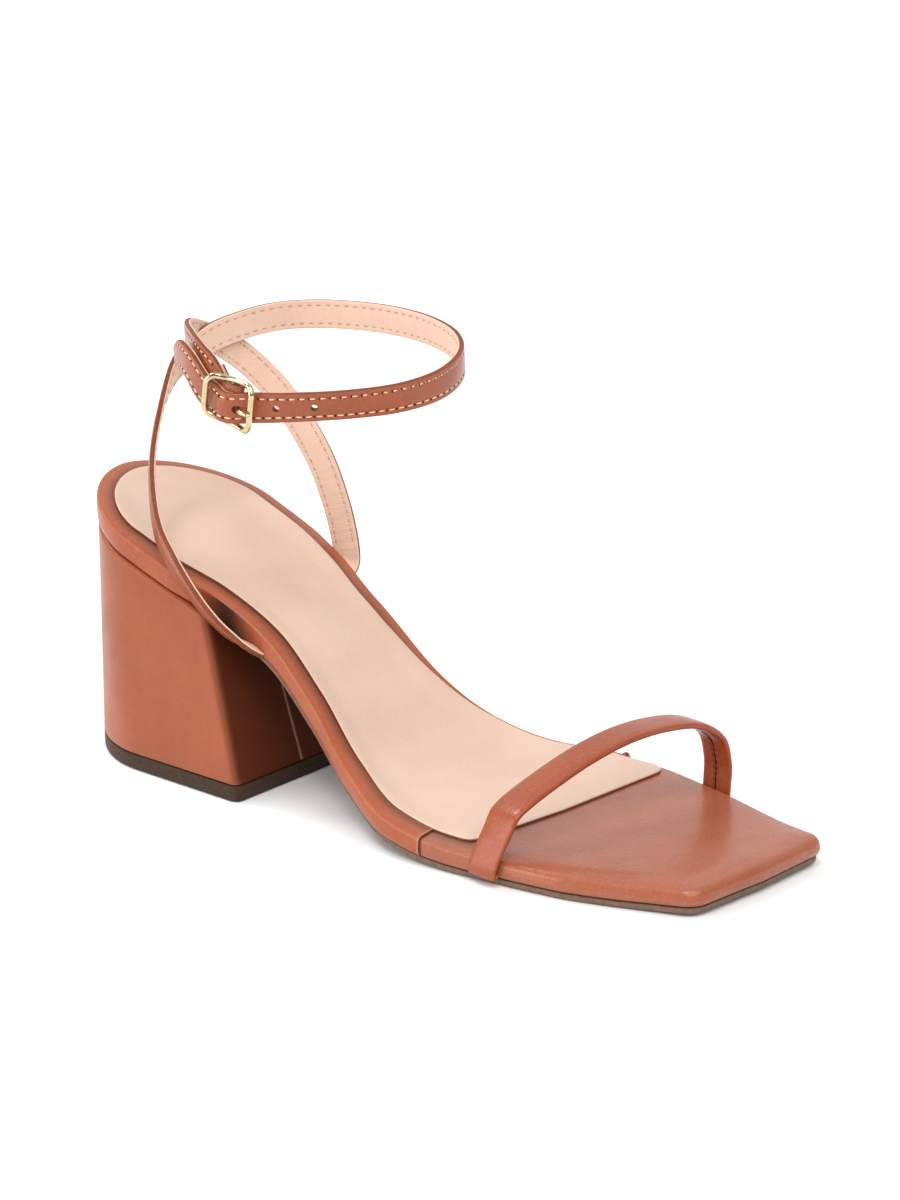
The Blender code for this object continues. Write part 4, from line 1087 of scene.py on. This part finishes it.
def sew(name, rows):
    pitch, long, thick, shift, wobble, seed, _, thread = stitches[name]  # the depth is used by stitchRow
    edges = []
    start = 0
    for row in rows:
        edges += [(start + k, start + k + 1) for k in range(len(row) - 1)]
        start += len(row)
    mesh = bpy.data.meshes.new(name)
    mesh.from_pydata(toWorld(np.concatenate(rows)).tolist(), edges, [])
    piece = intoScene(name, mesh)
    modifier = piece.modifiers.new("stitches", "NODES")
    modifier.node_group = sewing
    values = {"Pitch": pitch * mm, "Half Length": long / 2 * mm, "Half Width": thick / 2 * mm,
              "Shift": shift * mm, "Wobble": wobble, "Seed": seed, "Finish": finish[thread]}
    for key, value in values.items():
        modifier[socketIds[key]] = value
    bake(piece)
    settle(piece, None)
    print(" ", name, len(piece.data.polygons), "faces")


def stitchRow(name, path, side, a, begin, end):  # side 1 is the outer face, -1 the inner one
    centre, face, steps, half = path
    across, out = frameAlong(centre, face)
    deep = stitches[name][-2]
    height = side * (half - deep)
    line = centre + a * across + np.reshape(height, (-1, 1)) * out
    return line[(steps >= begin) & (steps <= end)]


def sewStraps():
    rows = {name: [] for name in stitches}
    rowAt = strap["width"] / 2 - strap["rowIn"]
    longEnd = longReach[-1] - sewn["end"]
    for path, begin, turn, end in ((longPath, sewn["longBegin"], sewn["longTurn"], longEnd),
                                   (shortPath, sewn["shortBegin"], sewn["shortTurn"], shortEnd)):
        after = turn + sewn["gap"]
        spans = {"quarterStitches": (1, begin, turn), "strapStitches": (1, after, end),
                 "strapPricks": (1, after, end), "liningStitches": (-1, begin, end),
                 "liningPricks": (-1, begin, end)}  # the thread is drawn deeper on the quarters
        for a in (-rowAt, rowAt):
            for name, (side, first, last) in spans.items():
                rows[name].append(stitchRow(name, path, side, a, first, last))
    toeEnd = toePath[2][-1] - sewn["toeEnds"]
    for name, places in (("toeStrapSeam", (-sewn["seamSide"], sewn["seamSide"])), ("toeStrapJoin", (0.0,))):
        for a in places:
            rows[name].append(stitchRow(name, toePath, -1, a, sewn["toeEnds"], toeEnd))
    for name in stitches:
        sew(name, rows[name])


sewStraps()
print("stitches sewn")


# buckle: bent wire frame with a middle bar and a prong

buckle = {
    "lift": 0.7, "halfLength": 7.2, "halfWidth": 6.0, "corner": 2.4, "heelDrop": 1.5, "wire": 0.85,
    "bar": 0.65, "rise": 2.05, "drop": 1.95, "arcSteps": 14, "railSteps": 16, "endSteps": 8, "barSteps": 9,
    "prongRoute": (  # along, across and out of the buckle
        (1.0, 0, 0.1), (2.3, 0, 0.35), (3.2, 0, 1.2), (3.8, 0, 2.6), (5.1, 0, 3.45), (7.2, 0, 3.95),
        (8.4, 0, 3.8)),
    "prong": 0.62, "prongSteps": 40, "taper": 0.35, "taperSpan": (0.6, 1.0), "tip": (0.95, 0.8, 0.45),
    "round": 7, "merge": 0.00001,  # points this near, in metres, become one
}


def wire(name, points, radius, closed, taper=None):
    path = bpy.data.curves.new(name, "CURVE")
    path.dimensions = "3D"
    path.bevel_depth = radius * mm
    path.bevel_resolution = buckle["round"]
    path.use_fill_caps = True
    spline = path.splines.new("POLY")
    spline.points.add(len(points) - 1)
    for k, (target, point) in enumerate(zip(spline.points, toWorld(points))):
        target.co = (*point, 1.0)
        target.radius = taper[k] if taper is not None else 1.0
    spline.use_cyclic_u = closed
    guide = intoScene(name + "Path", path)
    mesh = bpy.data.meshes.new_from_object(guide.evaluated_get(bpy.context.evaluated_depsgraph_get()))
    bpy.data.objects.remove(guide, do_unlink=True)
    facesOut(mesh, buckle["merge"])
    mesh.materials.clear()
    mesh.materials.append(finish["paleGold"])
    shaded(mesh, sharp=50)
    mesh.name = name
    return intoScene(name, mesh)


def frameOut(along):
    share = np.clip(np.abs(along) / buckle["halfLength"], 0, 1)
    return buckle["rise"] - buckle["drop"] * (1 - share ** 2)


def makeBuckle():
    half, wide, corner = buckle["halfLength"], buckle["halfWidth"], buckle["corner"]
    a = half - corner
    b = wide - corner
    points = []
    for quarter, (along, across) in enumerate(((a, b), (-a, b), (-a, -b), (a, -b))):
        start = quarter * math.pi / 2
        for turn in np.linspace(start, start + math.pi / 2, buckle["arcSteps"]):
            points.append((along + corner * math.cos(turn), across + corner * math.sin(turn)))
        if quarter % 2 == 0:
            rail = math.copysign(wide, across)
            points += [(along * (1 - 2 * s), rail) for s in np.linspace(0, 1, buckle["railSteps"])[1:-1]]
        else:
            bar = math.copysign(half, along)
            points += [(bar, across * (1 - 2 * s)) for s in np.linspace(0, 1, buckle["endSteps"])[1:-1]]
    path = np.array(points)
    # the lower rail slants up to the back
    slant = buckle["heelDrop"] * rise(0.5 - path[:, 0] / half / 2) * rise(-path[:, 1] / wide + 0.5)
    path = np.c_[path[:, 0], path[:, 1] + buckle["lift"] + slant, frameOut(path[:, 0])]
    settle(wire("buckleFrame", inBuckle(path), buckle["wire"], True), "pale_gold", "buckle_frame")
    ends = [(0.0, s * wide + buckle["lift"], frameOut(0.0)) for s in np.linspace(-1, 1, buckle["barSteps"])]
    settle(wire("buckleBar", inBuckle(ends), buckle["bar"], False), "pale_gold", "buckle_frame")
    rows = np.array(buckle["prongRoute"], float)
    share = np.linspace(0, 1, buckle["prongSteps"])
    path = through(rows, share * chord(rows)[-1])
    taper = 1.0 - buckle["taper"] * rise(share, buckle["taperSpan"])
    taper[-3:] *= buckle["tip"]
    settle(wire("buckleProng", inBuckle(path), buckle["prong"], False, taper), "pale_gold", "buckle_prong")


makeBuckle()
print("buckle made")


# studio

studio = {
    "floor": (0.90, 0.90, 0.895), "floorReach": 150.0, "floorRough": 0.9, "floorDrop": 0.0002,
    "worldLight": (0.15, 0.95), "worldTint": (1.0, 0.995, 0.985, 1.0),
    "bright": (-0.60, 0.75, 0.45), "brightSpan": (-0.3, 0.8), "lampAway": 2.0,  # bright behind, dim in front
    "lights": {  # direction it comes from, spread, power
        "key": ((0.54, -0.40, 0.74), 60.0, 2.25), "fill": ((-0.55, -0.80, 0.25), 45.0, 1.55),
        "spark": ((0.12, -0.48, 0.87), 13.0, 0.45), "glint": ((-0.58, -0.04, 0.81), 14.0, 0.7)},
}
camera = {
    "turn": 0.6704761, "tilt": 0.2766830, "roll": 0.0057780, "at": (481.767, -457.563, 223.156),
    "focal": 2331.23, "width": 900, "sensor": 36.0, "near": 0.01,
}


def makeStudio():
    mesh = bpy.data.meshes.new("floor")
    r = studio["floorReach"]
    mesh.from_pydata([(-r, -r, 0), (r, -r, 0), (r, r, 0), (-r, r, 0)], [], [(0, 1, 2, 3)])
    material, tree, shader = newMaterial("paleFloor")
    feed(tree, shader, {"Base Color": (*studio["floor"], 1.0), "Roughness": studio["floorRough"],
                        "Specular IOR Level": 0.0})
    mesh.materials.append(material)
    floor = intoScene("floor", mesh)
    floor.location.z = -studio["floorDrop"]
    world = bpy.data.worlds.new("studio")
    world.use_nodes = True
    tree = world.node_tree
    direction = add(tree, "ShaderNodeTexCoord").outputs["Generated"]
    bright = tuple(unit(np.array(studio["bright"])))
    lean = add(tree, "ShaderNodeVectorMath", {0: direction, 1: bright}, operation="DOT_PRODUCT")
    strength = ramp(tree, lean.outputs["Value"], *studio["brightSpan"], *studio["worldLight"])
    feed(tree, tree.nodes["Background"], {"Strength": strength, "Color": studio["worldTint"]})
    bpy.context.scene.world = world
    for name, (source, spread, power) in studio["lights"].items():
        light = bpy.data.lights.new(name, "SUN")
        light.energy = power
        light.angle = math.radians(spread)
        back = unit(np.array(source))
        side = unit(np.cross((0.0, 1.0, 0.0), back))
        place = back * studio["lampAway"]
        intoScene(name, light).matrix_world = standing(side, np.cross(back, side), back, place)


def makeCamera():
    turn, tilt, roll = camera["turn"], camera["tilt"], camera["roll"]
    right = np.array([math.cos(turn), math.sin(turn), 0.0])
    look = np.array([-math.sin(turn) * math.cos(tilt), math.cos(turn) * math.cos(tilt), -math.sin(tilt)])
    up = np.cross(right, look)
    across = math.cos(roll) * right - math.sin(roll) * up
    upright = math.sin(roll) * right + math.cos(roll) * up
    data = bpy.data.cameras.new("photoView")
    data.sensor_fit = "HORIZONTAL"
    data.sensor_width = camera["sensor"]
    data.lens = camera["focal"] / camera["width"] * camera["sensor"]
    data.clip_start = camera["near"]
    shot = intoScene("photoView", data)
    shot.matrix_world = standing(across, upright, -look, toWorld(camera["at"]))
    bpy.context.scene.camera = shot


makeStudio()
makeCamera()
bpy.context.scene.view_settings.view_transform = "Standard"
print("studio and camera placed")
